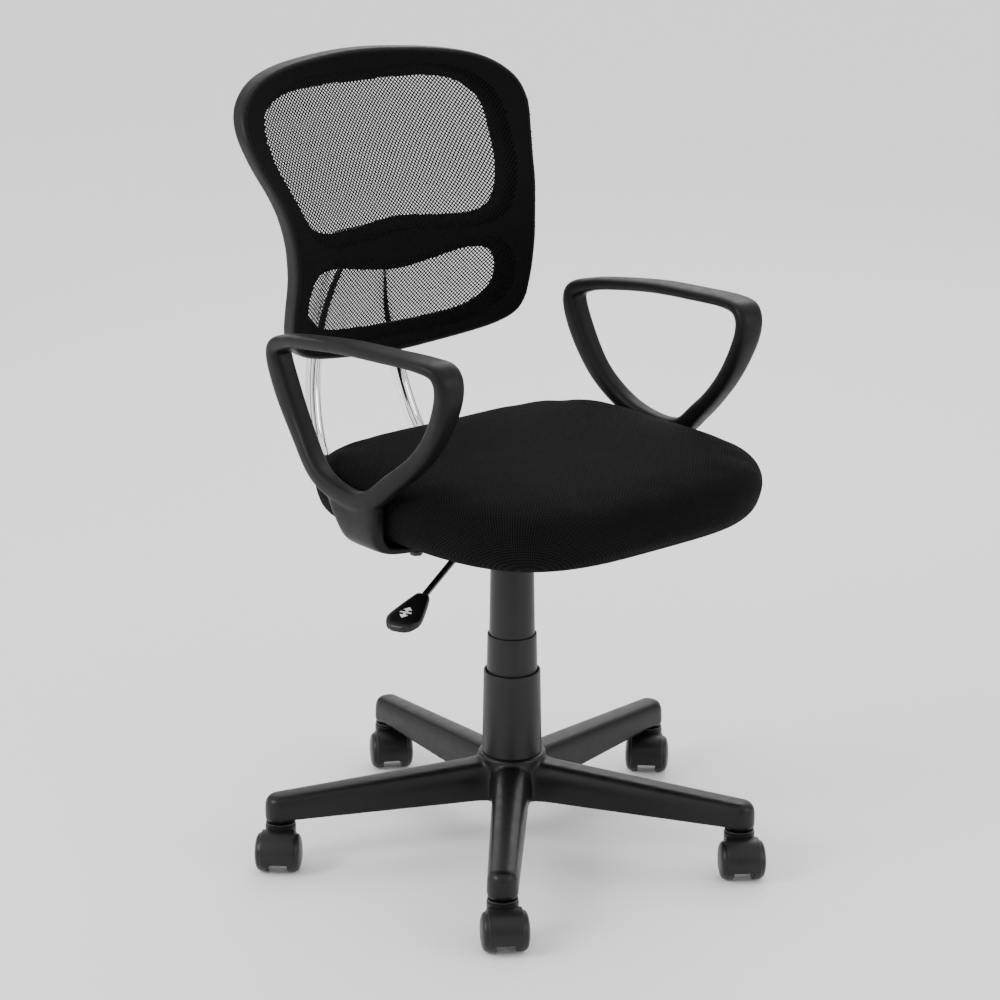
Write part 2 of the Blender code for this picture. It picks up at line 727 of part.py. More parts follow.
def make_caster(shop, column, number, shared):
    """One twin-wheel caster on its stem, under one leg's tip."""
    degrees = FIRST_LEG + 360.0 / LEG_COUNT * number
    facing = CASTER_FACING + CASTER_TURNS[number] + 90.0
    swivel = shop.empty(f"caster_{number + 1}_swivel", polar(STEM_CIRCLE, degrees), column, facing)
    name = f"caster_{number + 1}"
    half = HOOD_WIDTH / 2
    drum = rods_mesh(
        f"{name}_housing", [((-half, -TRAIL, AXLE_Z), (half, -TRAIL, AXLE_Z))], HOOD_OUTER, ROUND_STEPS
    )
    housing = shop.part(f"{name}_housing", drum, BLACK_NYLON, swivel)
    for key, operation in (
        ("neck", "UNION"),
        ("boss", "UNION"),
        ("wells", "DIFFERENCE"),
        ("floor", "DIFFERENCE"),
        ("pin", "DIFFERENCE"),
        ("axle", "DIFFERENCE"),
    ):
        boolean(housing, shop.cutter(f"{name}_{key}_tool", shared[key], swivel), operation)
    pin_low = NECK_TOP_Z - STEM_PIN_DEPTH
    stem_profile = [
        (0.0, TIP_BOSS_Z + STEM_LENGTH),
        (STEM_RADIUS, TIP_BOSS_Z + STEM_LENGTH),
        (STEM_RADIUS, TIP_BOSS_Z),
        (STEM_PIN_RADIUS, TIP_BOSS_Z),
        (STEM_PIN_RADIUS, pin_low),
        (0.0, pin_low),
    ]
    turn(shop.part(f"{name}_stem", turned_profile(f"{name}_stem", stem_profile), STEEL, swivel), SMALL_STEPS)
    axle_run = [((-AXLE_LENGTH / 2, 0, 0), (AXLE_LENGTH / 2, 0, 0))]
    axle = rods_mesh(f"{name}_axle", axle_run, AXLE_RADIUS)
    shop.part(f"{name}_axle", axle, STEEL, swivel, location=(0, -TRAIL, AXLE_Z))
    half_facet = math.pi / WHEEL_SIDES
    for side, sign in (("left", 1), ("right", -1)):
        profile = turned_profile(f"{name}_wheel_{side}", wheel_profile())
        wheel = shop.part(
            f"{name}_wheel_{side}",
            profile,
            WHEEL_PLASTIC,
            swivel,
            location=(0, -TRAIL, AXLE_Z),
        )
        tilt = Matrix.Rotation(sign * math.pi / 2, 3, "Y") @ Matrix.Rotation(half_facet, 3, "Z")
        wheel.rotation_euler = tilt.to_euler()
        turn(wheel, WHEEL_SIDES)


# ---------------------------------------------------------------- gas spring and cover


def make_gas_spring(shop, column):
    """Outer tube, bush, rod on its thrust bearing, inner cylinder and release button."""
    bore = TUBE_RADIUS - TUBE_WALL
    floor_top = TUBE_BOTTOM_Z + TUBE_FLOOR
    hole = ROD_SPIGOT_RADIUS + TOUCH
    tube = [
        (TUBE_RADIUS, TUBE_TOP_Z),
        (TUBE_RADIUS, TUBE_BOTTOM_Z),
        (hole, TUBE_BOTTOM_Z),
        (hole, floor_top),
        (bore, floor_top),
        (bore, TUBE_TOP_Z),
    ]
    turn(shop.part("gas_spring_tube", turned_profile("gas_spring_tube", tube), BLACK_PAINT, column))
    bush = ring_profile(CYLINDER_RADIUS + TOUCH, bore - TOUCH, TUBE_TOP_Z - BUSH_LENGTH, TUBE_TOP_Z)
    turn(shop.part("guide_bush", turned_profile("guide_bush", bush), BUSH_PLASTIC, column))
    bearing_low = floor_top + TOUCH
    bearing = ring_profile(hole, BEARING_RADIUS, bearing_low, bearing_low + BEARING_HEIGHT)
    turn(shop.part("thrust_bearing", turned_profile("thrust_bearing", bearing), STEEL, column))
    clip_top = TUBE_BOTTOM_Z - TOUCH
    clip = ring_profile(hole, CLIP_RADIUS, clip_top - CLIP_HEIGHT, clip_top)
    turn(shop.part("retaining_clip", turned_profile("retaining_clip", clip), STEEL, column), SMALL_STEPS)
    shoulder = bearing_low + BEARING_HEIGHT + TOUCH
    rod_top = TUBE_BOTTOM_Z + ROD_TOP_UP
    piston = CYLINDER_RADIUS - CYLINDER_WALL - TOUCH
    rod_low = clip_top - 2 * CLIP_HEIGHT
    rod = [
        (0.0, rod_top),
        (piston, rod_top),
        (piston, rod_top - PISTON_HEIGHT),
        (ROD_RADIUS, rod_top - PISTON_HEIGHT),
        (ROD_RADIUS, shoulder),
        (ROD_SPIGOT_RADIUS, shoulder),
        (ROD_SPIGOT_RADIUS, rod_low),
        (0.0, rod_low),
    ]
    turn(shop.part("piston_rod", turned_profile("piston_rod", rod), STEEL, column), SMALL_STEPS)
    inner = CYLINDER_RADIUS - CYLINDER_WALL
    button_hole = BUTTON_RADIUS + TOUCH
    cylinder = [
        (CYLINDER_RADIUS, CYLINDER_TOP_Z),
        (CYLINDER_RADIUS, CYLINDER_BOTTOM_Z),
        (ROD_RADIUS + TOUCH, CYLINDER_BOTTOM_Z),
        (ROD_RADIUS + TOUCH, CYLINDER_BOTTOM_Z + CYLINDER_FLOOR),
        (inner, CYLINDER_BOTTOM_Z + CYLINDER_FLOOR),
        (inner, CYLINDER_TOP_Z - CYLINDER_CAP),
        (button_hole, CYLINDER_TOP_Z - CYLINDER_CAP),
        (button_hole, CYLINDER_TOP_Z),
    ]
    turn(shop.part("gas_cylinder", turned_profile("gas_cylinder", cylinder), STEEL, column))
    button_low = -BUTTON_SUNK
    button = rods_mesh("release_button", [((0, 0, button_low), (0, 0, BUTTON_STAND))], BUTTON_RADIUS)
    shop.part("release_button", button, STEEL, column, location=(0, 0, CYLINDER_TOP_Z))


def sleeve_profile(rim_radius, wall, rim_z, low_z):
    """Sleeve that grows wider towards its lower end by the draft."""
    low_radius = rim_radius + SLEEVE_DRAFT * (rim_z - low_z)
    return [
        (rim_radius, rim_z),
        (low_radius, low_z),
        (low_radius - wall, low_z),
        (rim_radius - wall, rim_z),
    ]


def make_cover(shop, column):
    """Three sleeves that slide into each other as the seat goes down."""
    middle_travel = HEIGHT_TRAVEL / 2
    clear_z = TUBE_TOP_Z + HEIGHT_TRAVEL
    top_rim_z = CHANNEL_BOTTOM_Z - TOUCH
    top_at_clear = TUBE_RADIUS + SLEEVE_GAP + TOP_WALL

    def top_radius(z):
        return top_at_clear + SLEEVE_DRAFT * (clear_z - z)

    top = sleeve_profile(top_radius(top_rim_z), TOP_WALL, top_rim_z, TOP_LOWER_Z)
    turn(shop.part("cover_top_sleeve", turned_profile("cover_top_sleeve", top), BLACK_PLASTIC, column))
    middle_rim = top_radius(MIDDLE_RIM_Z - middle_travel) + SLEEVE_GAP + MIDDLE_WALL
    middle_low_z = MIDDLE_RIM_Z - MIDDLE_LENGTH
    middle = sleeve_profile(middle_rim, MIDDLE_WALL, MIDDLE_RIM_Z, middle_low_z)
    turn(shop.part("cover_middle_sleeve", turned_profile("cover_middle_sleeve", middle), BLACK_PLASTIC, column))
    middle_widest = middle_rim + SLEEVE_DRAFT * (MIDDLE_RIM_Z - (LOWER_RIM_Z - middle_travel))
    lower_rim = middle_widest + LOWER_GAP + LOWER_WALL
    lower = sleeve_profile(lower_rim, LOWER_WALL, LOWER_RIM_Z, HUB_TOP_Z + TOUCH)
    turn(shop.part("cover_lower_sleeve", turned_profile("cover_lower_sleeve", lower), BLACK_PLASTIC, column))


# ---------------------------------------------------------------- seat


def seat_plan(inset):
    """Rounded plan of the seat, drawn in from its widest line by an inset."""
    points = []
    for index in range(SEAT_POINTS):
        angle = math.tau * index / SEAT_POINTS
        c, s = math.cos(angle), math.sin(angle)
        reach = SEAT_REAR if s > 0 else SEAT_FRONT
        x = (SEAT_WIDTH / 2 - inset) * math.copysign(abs(c) ** (2 / SEAT_SQUARENESS), c)
        y = (reach - inset) * math.copysign(abs(s) ** (2 / SEAT_SQUARENESS), s)
        points.append((x, y))
    return points


def bolt_spots():
    """Plan positions of the bolts that hold the fittings to the board."""
    spots = {}
    arm_x = ARM_FOOT_X - ARM_BOLT_INSET
    for side, sign in (("right", -1), ("left", 1)):
        for end, (x, y) in zip(("front", "rear"), MECHANISM_BOLTS):
            spots[f"mechanism_bolt_{side}_{end}"] = (sign * x, y)
        for end, step in (("front", -0.5), ("rear", 0.5)):
            spots[f"arm_bolt_{side}_{end}"] = (sign * arm_x, ARM_BOLT_Y + step * ARM_BOLT_SPACING)
    return spots


def make_seat(shop, seat, holes):
    """Board, cushion, cloth under the board and the steel support plate."""
    low = SEAT_UNDERSIDE_Z
    board = prism_mesh("seat_board", seat_plan(BOARD_INSET), low, low + BOARD_THICKNESS)
    board = shop.part("seat_board", board, PLYWOOD, seat)
    boolean(board, holes)
    sheet = prism_mesh(
        "seat_bottom_cover", seat_plan(COVER_INSET), COVER_SHEET_TOP_Z - COVER_THICKNESS, COVER_SHEET_TOP_Z
    )
    boolean(shop.part("seat_bottom_cover", sheet, UNDER_CLOTH, seat), holes)
    rings = []
    for inset, rise in (
        (CUSHION_TUCK, 0.05),
        (CUSHION_TUCK * 0.70, 0.08),
        (CUSHION_TUCK * 0.22, 0.22),
        (0.0, 0.45),
        (CUSHION_TUCK * 0.12, 0.62),
        (CUSHION_TUCK * 0.60, 0.81),
        (CUSHION_TUCK * 1.50, 0.915),
        (CUSHION_TUCK * 4.0, 0.97),
        (CUSHION_TUCK * 7.5, 1.0),
    ):
        rings.append([Vector((x, y, low + CUSHION_HEIGHT * rise)) for x, y in seat_plan(inset)])
    cushion = shop.part("seat_cushion", loft_mesh("seat_cushion", rings), SEAT_FABRIC, seat)
    room = prism_mesh(
        "board_room", seat_plan(BOARD_INSET - TOUCH), low - HIDDEN_DEPTH, low + BOARD_THICKNESS + TOUCH
    )
    boolean(cushion, shop.cutter("board_room", room, seat))
    support = box_mesh(
        "seat_support_plate",
        (-SUPPORT_HALF_WIDTH, SUPPORT_FRONT, SUPPORT_BOTTOM_Z),
        (SUPPORT_HALF_WIDTH, SUPPORT_REAR, FITTINGS_TOP_Z),
    )
    boolean(shop.part("seat_support_plate", support, BLACK_PAINT, seat), holes)


def make_mechanism(shop, seat, holes):
    """Pressed plate with a channel that holds the socket of the gas spring."""
    plate = box_mesh(
        "mechanism_plate",
        (-MECHANISM_HALF_WIDTH, MECHANISM_FRONT, MECHANISM_BOTTOM_Z),
        (MECHANISM_HALF_WIDTH, MECHANISM_REAR, MECHANISM_TOP_Z),
    )
    plate = shop.part("mechanism_plate", plate, BLACK_PAINT, seat)
    channel = box_mesh(
        "channel",
        (-CHANNEL_HALF_WIDTH, CHANNEL_FRONT, CHANNEL_BOTTOM_Z),
        (CHANNEL_HALF_WIDTH, CHANNEL_REAR, MECHANISM_TOP_Z - MECHANISM_SHEET / 2),
    )
    boolean(plate, shop.cutter("channel", channel, seat), "UNION")
    inside = CHANNEL_HALF_WIDTH - MECHANISM_SHEET
    hollow = box_mesh(
        "channel_hollow",
        (-inside, CHANNEL_FRONT - HIDDEN_DEPTH, CHANNEL_BOTTOM_Z + MECHANISM_SHEET),
        (inside, CHANNEL_REAR + HIDDEN_DEPTH, MECHANISM_BOTTOM_Z),
    )
    boolean(plate, shop.cutter("channel_hollow", hollow, seat))
    socket_outer = CYLINDER_RADIUS + TOUCH + SOCKET_WALL
    low = CHANNEL_BOTTOM_Z - HIDDEN_DEPTH
    through = rods_mesh(
        "socket_hole", [((0, 0, low), (0, 0, LEVER_Z))], socket_outer + TOUCH, ROUND_STEPS
    )
    boolean(plate, shop.cutter("socket_hole", through, seat))
    room = 2.0 * LEVER_RADIUS
    slot = box_mesh(
        "lever_slot",
        (-CHANNEL_HALF_WIDTH - room, -room, LEVER_Z - room),
        (-inside + room, room * 0.7, LEVER_Z + room),
    )
    boolean(plate, shop.cutter("lever_slot", slot, seat))
    boolean(plate, holes)
    socket = ring_profile(
        CYLINDER_RADIUS + TOUCH, socket_outer, CHANNEL_BOTTOM_Z - SOCKET_BELOW, CYLINDER_TOP_Z - TOUCH
    )
    turn(shop.part("mechanism_socket", turned_profile("mechanism_socket", socket), BLACK_PAINT, seat))


def make_bolts(shop, seat, spots):
    """Hexagon-headed bolts from below, through the fittings and into the board."""
    for name, (x, y) in spots.items():
        under = MECHANISM_BOTTOM_Z if name.startswith("mechanism") else arm_tongue_bottom()
        head_top = under - TOUCH
        shape = bmesh.new()
        add_rod(shape, (0, 0, head_top - BOLT_HEAD_HEIGHT), (0, 0, head_top), BOLT_HEAD_RADIUS, 6)
        head = shop.part(name, mesh_from(shape, name), STEEL, seat, location=(x, y, 0))
        top = SEAT_UNDERSIDE_Z + BOLT_IN_BOARD
        shank = rods_mesh(
            f"{name}_shank", [((0, 0, head_top - BOLT_HEAD_HEIGHT / 2), (0, 0, top))], BOLT_RADIUS, 12
        )
        boolean(head, shop.cutter(f"{name}_shank", shank, seat, location=(x, y, 0)), "UNION")


# ---------------------------------------------------------------- lever


def lever_direction():
    """Unit vector along the outer run of the lever."""
    forward, drop = math.radians(LEVER_FORWARD), math.radians(LEVER_DROP)
    level = math.cos(drop)
    return Vector((-level * math.cos(forward), -level * math.sin(forward), -math.sin(drop)))


def make_lever(shop, seat):
    """Bent rod that presses the button, and the paddle at its outer end."""
    pivot = Vector((-CHANNEL_HALF_WIDTH, 0.0, LEVER_Z))
    hinge = shop.empty("lever_pivot", pivot, seat)
    tip = Vector((BUTTON_RADIUS, 0.0, LEVER_Z)) - pivot
    knee = Vector((-LEVER_KNEE, -LEVER_RADIUS, LEVER_Z)) - pivot
    run_in = (knee - tip).normalized()
    run_out = lever_direction()
    bend = LEVER_BEND_RADIUS * math.tan(run_in.angle(run_out) / 2)
    start, end = knee - run_in * bend, knee + run_out * bend
    arc = []
    for step in range(5):
        t = step / 4
        arc.append(start * (1 - t) ** 2 + knee * (2 * t * (1 - t)) + end * t**2)
    rod_end = knee + run_out * LEVER_REACH
    rod = pipe_curve("lever_rod", [tip, *arc, rod_end], LEVER_RADIUS)
    shop.part("lever_rod", rod, BLACK_PAINT, hinge)
    across = run_out.cross(Vector((0, 0, 1))).normalized()
    up = across.cross(run_out).normalized()
    neck = rod_end - run_out * PADDLE_GRIP
    half_thick = PADDLE_THICKNESS / 2
    rings = []
    for share, half, thick in (
        (0.0, PADDLE_NECK_HALF * 0.8, 0.72),
        (0.06, PADDLE_NECK_HALF, 0.86),
        (0.35, (PADDLE_NECK_HALF + PADDLE_HALF) / 2, 0.95),
        (0.66, PADDLE_HALF, 1.0),
        (0.84, PADDLE_HALF * 0.92, 0.95),
        (0.95, PADDLE_HALF * 0.66, 0.82),
        (1.0, PADDLE_HALF * 0.36, 0.6),
    ):
        centre = neck + run_out * (PADDLE_LENGTH * share)
        rings.append(rounded_section(centre, across, up, half, half_thick * thick, 12, 3.5))
    paddle = shop.part("lever_paddle", loft_mesh("lever_paddle", rings), BLACK_PLASTIC, hinge)
    past = neck - run_out * PADDLE_GRIP
    bottom = rod_end + run_out * TOUCH
    bore = rods_mesh("paddle_bore", [(past, bottom)], LEVER_RADIUS + TOUCH)
    boolean(paddle, shop.cutter("paddle_bore", bore, hinge))


# ---------------------------------------------------------------- arms


def arm_tongue_bottom():
    """Height of the underside of the arm's foot, where its bolts bear."""
    half_depth = ARM_FOOT[-1][4] * MM
    return FITTINGS_TOP_Z - 2 * half_depth


def arm_loop_rings(sign):
    """Sections round the arm's closed loop, for the arm on one side."""
    plane = ARM_FOOT_X - ARM_LEAN
    rows = blend_points(ARM_LOOP, ARM_STEPS, closed=True)
    centres = [Vector((plane + row[2] * MM, row[0] * MM, SEAT_UNDERSIDE_Z + row[1] * MM)) for row in rows]
    rings = []
    for index, (centre, row) in enumerate(zip(centres, rows)):
        ahead = centres[(index + 1) % len(centres)]
        behind = centres[index - 1]
        along = (ahead - behind).normalized()
        across = (Vector((1, 0, 0)) - along * along.x).normalized()
        out = along.cross(across).normalized()
        ring = rounded_section(
            centre, across, out, row[3] * MM, row[4] * MM, ARM_SECTION_POINTS, ARM_SECTION_SQUARENESS
        )
        rings.append([Vector((sign * point.x, point.y, point.z)) for point in ring])
    return rings


def arm_foot_rings(sign):
    """Sections of the foot, from the bottom of the loop to the tongue under the seat."""
    tongue_z = FITTINGS_TOP_Z - ARM_FOOT[-1][4] * MM
    drop = SEAT_UNDERSIDE_Z + ARM_FOOT[-1][2] * MM - tongue_z
    rows = blend_points(ARM_FOOT, ARM_STEPS)
    centres = [
        Vector((ARM_FOOT_X - row[0] * MM, row[1] * MM, SEAT_UNDERSIDE_Z + row[2] * MM - drop)) for row in rows
    ]
    rings = []
    for index, (centre, row) in enumerate(zip(centres, rows)):
        ahead = centres[min(index + 1, len(centres) - 1)]
        behind = centres[max(index - 1, 0)]
        along = ahead - behind
        along.y = 0.0
        along.normalize()
        out = along.cross(Vector((0, 1, 0))).normalized()
        ring = rounded_section(
            centre, Vector((0, 1, 0)), out, row[3] * MM, row[4] * MM, ARM_SECTION_POINTS, 5.0
        )
        rings.append([Vector((sign * point.x, point.y, point.z)) for point in ring])
    return rings


def make_arms(shop, seat, holes):
    """Two moulded loop arms, each with a foot that turns in under the seat."""
    for side, sign in (("right", -1), ("left", 1)):
        name = f"arm_{side}"
        arm = shop.part(name, loft_mesh(name, arm_loop_rings(sign), closed=True), BLACK_PLASTIC, seat)
        foot = shop.cutter(f"{name}_foot", loft_mesh(f"{name}_foot", arm_foot_rings(sign)), seat)
        boolean(arm, foot, "UNION")
        boolean(arm, holes)


# ---------------------------------------------------------------- back


def spine_y(height):
    """Where the mesh's plane stands on the centre line, at a height over the seat."""
    points = blend_points(BACK_SPINE, 8)
    height /= MM
    if height <= points[0][0]:
        return points[0][1] * MM
    for (low, near), (high, far) in zip(points, points[1:]):
        if height <= high:
            return (near + (far - near) * (height - low) / (high - low)) * MM
    return points[-1][1] * MM


def back_y(x, z):
    """Where the mesh's plane stands: its sides come forward of its centre line."""
    return spine_y(z - SEAT_UNDERSIDE_Z) - BACK_CURVATURE * x * x


def outline_prism(shop, name, half, offset=0.0):
    """Tool that keeps or cuts what lies inside a symmetric outline seen from the front."""
    curve = bpy.data.curves.new(name, "CURVE")
    curve.dimensions = "2D"
    curve.fill_mode = "BOTH"
    curve.extrude = HIDDEN_DEPTH
    curve.offset = offset
    curve.resolution_u = CURVE_RESOLUTION
    points = list(half) + [(-x, z) for x, z in reversed(half[1:-1])]
    spline = curve.splines.new("BEZIER")
    spline.bezier_points.add(len(points) - 1)
    for slot, (x, z) in zip(spline.bezier_points, points):
        slot.co = (x * MM, z * MM, 0.0)
        slot.handle_left_type = "AUTO"
        slot.handle_right_type = "AUTO"
    spline.use_cyclic_u = True
    mesh = shop.mesh_of_curve(curve)
    stand = Matrix.Translation((0, HIDDEN_DEPTH, SEAT_UNDERSIDE_Z)) @ Matrix.Rotation(math.pi / 2, 4, "X")
    mesh.transform(stand)
    return mesh


def curved_slab(name, front, back):
    """Slab that follows the back's plane, between two depths behind the mesh."""
    wide = max(x for x, _ in BACK_OUTLINE) * MM + RIM_DEPTH
    low = BACK_OUTLINE[-1][1] * MM - RIM_DEPTH
    high = BACK_OUTLINE[0][1] * MM + RIM_DEPTH
    shape = bmesh.new()
    bmesh.ops.create_grid(shape, x_segments=BACK_COLUMNS, y_segments=BACK_ROWS, size=1.0)
    bmesh.ops.scale(shape, verts=shape.verts, vec=(wide, (high - low) / 2, 1.0))
    bmesh.ops.rotate(shape, verts=shape.verts, matrix=Matrix.Rotation(math.pi / 2, 3, "X"))
    bmesh.ops.translate(shape, verts=shape.verts, vec=(0, 0, SEAT_UNDERSIDE_Z + (high + low) / 2))
    fronts = list(shape.verts)
    grown = bmesh.ops.extrude_face_region(shape, geom=shape.faces[:])
    rears = [item for item in grown["geom"] if isinstance(item, bmesh.types.BMVert)]
    for vert in fronts:
        vert.co.y = back_y(vert.co.x, vert.co.z) + front
    for vert in rears:
        vert.co.y = back_y(vert.co.x, vert.co.z) + back
    return mesh_from(shape, name)


def bar_points(sign, extra=0.0):
    """Path of one back bar, with its upper end carried on by an extra length."""
    rows = blend_points(BAR_PATH, BAR_STEPS)
    points = [Vector((sign * row[0] * MM, row[1] * MM, BAR_Z + row[2] * MM)) for row in rows]
    last = (points[-1] - points[-2]).normalized()
    points[-1] = points[-1] + last * extra
    return points


def bar_at(sign, height):
    """Point of a bar's axis at a height, and how far the bar leans from upright there."""
    points = bar_points(sign)
    for low, high in zip(points, points[1:]):
        if low.z <= height <= high.z:
            share = (height - low.z) / (high.z - low.z)
            return low.lerp(high, share), (high - low).angle(Vector((0, 0, 1)))
    return points[-1], 0.0


def make_back(shop, seat):
    """Moulded frame with two windows, the net over its front, and two chromed bars."""
    frame = shop.part("back_frame", curved_slab("back_frame", 0.0, RIM_DEPTH), BLACK_PLASTIC, seat)
    outer = shop.cutter("back_outer", outline_prism(shop, "back_outer", BACK_OUTLINE), seat)
    inner = shop.cutter("back_inner", outline_prism(shop, "back_inner", BACK_OUTLINE, -RIM_WIDTH), seat)
    boolean(frame, outer, "INTERSECT")
    boolean(frame, inner)
    panel_back = PANEL_RECESS + PANEL_THICKNESS
    panel = shop.cutter("back_panel", curved_slab("back_panel", PANEL_RECESS, panel_back), seat)
    joint = outline_prism(shop, "panel_edge", BACK_OUTLINE, -RIM_WIDTH / 2)
    boolean(panel, shop.cutter("panel_edge", joint, seat), "INTERSECT")
    for name, half in (("upper_window", UPPER_WINDOW), ("lower_window", LOWER_WINDOW)):
        boolean(panel, shop.cutter(name, outline_prism(shop, name, half), seat))
    boolean(frame, panel, "UNION")
    low_z = SEAT_UNDERSIDE_Z + BOSS_LOW
    high_z = SEAT_UNDERSIDE_Z + BOSS_HIGH
    front_y = spine_y((BOSS_LOW + BOSS_HIGH) / 2) + PANEL_RECESS + PANEL_THICKNESS / 2
    section = [
        (front_y, low_z),
        (BOSS_BACK, low_z),
        (BOSS_BACK_HIGH, high_z),
        (front_y, high_z),
    ]
    boss_mesh = prism_mesh("bar_boss", section, -BOSS_HALF_WIDTH, BOSS_HALF_WIDTH)
    boss_mesh.transform(Matrix(((0, 0, 1, 0), (1, 0, 0, 0), (0, 1, 0, 0), (0, 0, 0, 1))))
    boss = shop.cutter("bar_boss", boss_mesh, seat)
    bevel(boss, BOSS_ROUNDING, 2)
    boolean(frame, boss, "UNION")
    for side, sign in (("right", -1), ("left", 1)):
        bar = pipe_curve(f"back_bar_{side}", bar_points(sign), BAR_RADIUS, 2)
        shop.part(f"back_bar_{side}", bar, CHROME, seat)
        room = pipe_curve(f"bar_room_{side}", bar_points(sign, TOUCH), BAR_RADIUS + TOUCH, 2)
        boolean(frame, shop.cutter(f"bar_room_{side}", shop.mesh_of_curve(room), seat))
        make_back_screw(shop, seat, frame, side, sign)
    sheet = shop.part(
        "back_mesh", curved_slab("back_mesh", -TOUCH - MESH_THICKNESS, -TOUCH), BACK_NET, seat
    )
    edge = outline_prism(shop, "mesh_edge", BACK_OUTLINE, -MESH_INSET)
    boolean(sheet, shop.cutter("mesh_edge", edge, seat), "INTERSECT")


def make_back_screw(shop, seat, frame, side, sign):
    """Screw through the back of the frame's boss, up against the bar."""
    height = SEAT_UNDERSIDE_Z + BACK_SCREW_HEIGHT
    near, lean = bar_at(sign, height)
    slope = (BOSS_BACK - BOSS_BACK_HIGH) / (BOSS_HIGH - BOSS_LOW)
    face = BOSS_BACK - slope * (BACK_SCREW_HEIGHT - BOSS_LOW)
    bearing = face + slope * SCREW_HEAD_RADIUS + TOUCH
    end = near.y + BAR_RADIUS / math.cos(lean) + BOLT_RADIUS * math.tan(lean) + 2 * TOUCH
    name = f"back_screw_{side}"
    shape = bmesh.new()
    head_end = bearing + SCREW_HEAD_HEIGHT
    add_rod(shape, (near.x, bearing, height), (near.x, head_end, height), SCREW_HEAD_RADIUS)
    head = shop.part(name, mesh_from(shape, name), STEEL, seat)
    shank_run = [((near.x, end, height), (near.x, head_end - SCREW_HEAD_HEIGHT / 3, height))]
    shank = rods_mesh(f"{name}_shank", shank_run, BOLT_RADIUS, 12)
    boolean(head, shop.cutter(f"{name}_shank", shank, seat), "UNION")
    bore_run = [((near.x, near.y, height), (near.x, face + HIDDEN_DEPTH, height))]
    bore = rods_mesh(f"{name}_bore", bore_run, BOLT_HOLE_RADIUS, 12)
    boolean(frame, shop.cutter(f"{name}_bore", bore, seat))


def main():
    """Build the chair from the floor up."""
    clear_scene()
    shop = Workshop()
    column = shop.empty("column_axis", (COLUMN_X, COLUMN_Y, 0.0))
    make_base(shop, column)
    shared = caster_meshes(shop)
    for number in range(LEG_COUNT):
        make_caster(shop, column, number, shared)
    make_gas_spring(shop, column)
    make_cover(shop, column)
    seat = shop.empty("seat_axis", (0, 0, 0), column)
    spots = bolt_spots()
    runs = [((x, y, 0), (x, y, SEAT_UNDERSIDE_Z + BOLT_IN_BOARD + TOUCH)) for x, y in spots.values()]
    holes = shop.cutter("bolt_holes", rods_mesh("bolt_holes", runs, BOLT_HOLE_RADIUS, 12), seat)
    make_seat(shop, seat, holes)
    make_mechanism(shop, seat, holes)
    make_bolts(shop, seat, spots)
    make_lever(shop, seat)
    make_arms(shop, seat, holes)
    make_back(shop, seat)


main()
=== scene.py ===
"""Looks of a swivel office chair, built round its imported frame.

Every size is in metres unless a name says otherwise. The chair faces -Y, +Z is up, and the
sitter's right is at -X.
"""

import json
import logging
import math
from collections.abc import Iterable, Sequence
from dataclasses import dataclass, field
from enum import Enum

import bmesh
import bpy
from mathutils import Matrix, Vector


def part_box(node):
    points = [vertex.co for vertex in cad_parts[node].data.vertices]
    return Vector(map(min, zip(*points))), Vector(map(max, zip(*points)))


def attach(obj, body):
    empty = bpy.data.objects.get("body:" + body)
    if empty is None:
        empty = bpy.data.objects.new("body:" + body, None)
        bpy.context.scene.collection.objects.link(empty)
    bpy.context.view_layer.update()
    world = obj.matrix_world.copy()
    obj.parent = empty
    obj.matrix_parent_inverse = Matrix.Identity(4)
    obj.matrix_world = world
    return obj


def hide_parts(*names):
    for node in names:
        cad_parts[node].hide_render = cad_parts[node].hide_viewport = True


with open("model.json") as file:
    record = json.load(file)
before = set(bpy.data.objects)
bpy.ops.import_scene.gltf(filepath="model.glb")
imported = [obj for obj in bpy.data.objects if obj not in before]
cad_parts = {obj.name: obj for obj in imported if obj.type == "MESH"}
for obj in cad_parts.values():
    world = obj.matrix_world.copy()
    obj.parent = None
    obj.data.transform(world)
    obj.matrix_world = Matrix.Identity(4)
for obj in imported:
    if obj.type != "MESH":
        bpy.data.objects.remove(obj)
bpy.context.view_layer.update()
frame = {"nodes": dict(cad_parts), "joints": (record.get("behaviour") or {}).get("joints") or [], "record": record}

logging.basicConfig(level=logging.INFO, format="%(message)s")
LOG = logging.getLogger("office_chair")

MM = 0.001
FULL_TURN = math.tau
X_AXIS = Vector((1.0, 0.0, 0.0))
Y_AXIS = Vector((0.0, 1.0, 0.0))
Z_AXIS = Vector((0.0, 0.0, 1.0))
SHARP_ANGLE = math.radians(38.0)
BOLT_ROOM = 3.6 * MM

Ring = list[Vector]
Row = Sequence[float]
Corner = tuple[float, float]


class Side(Enum):
    """Which side of the sitter a piece is on."""

    RIGHT = -1
    LEFT = 1

    @property
    def word(self) -> str:
        """Lower-case name for use in a piece's name."""
        return self.name.lower()


class Joining(Enum):
    """How two solids are combined."""

    CUT = "DIFFERENCE"
    ADD = "UNION"
    KEEP = "INTERSECT"


# ------------------------------------------------------------------ shading helpers


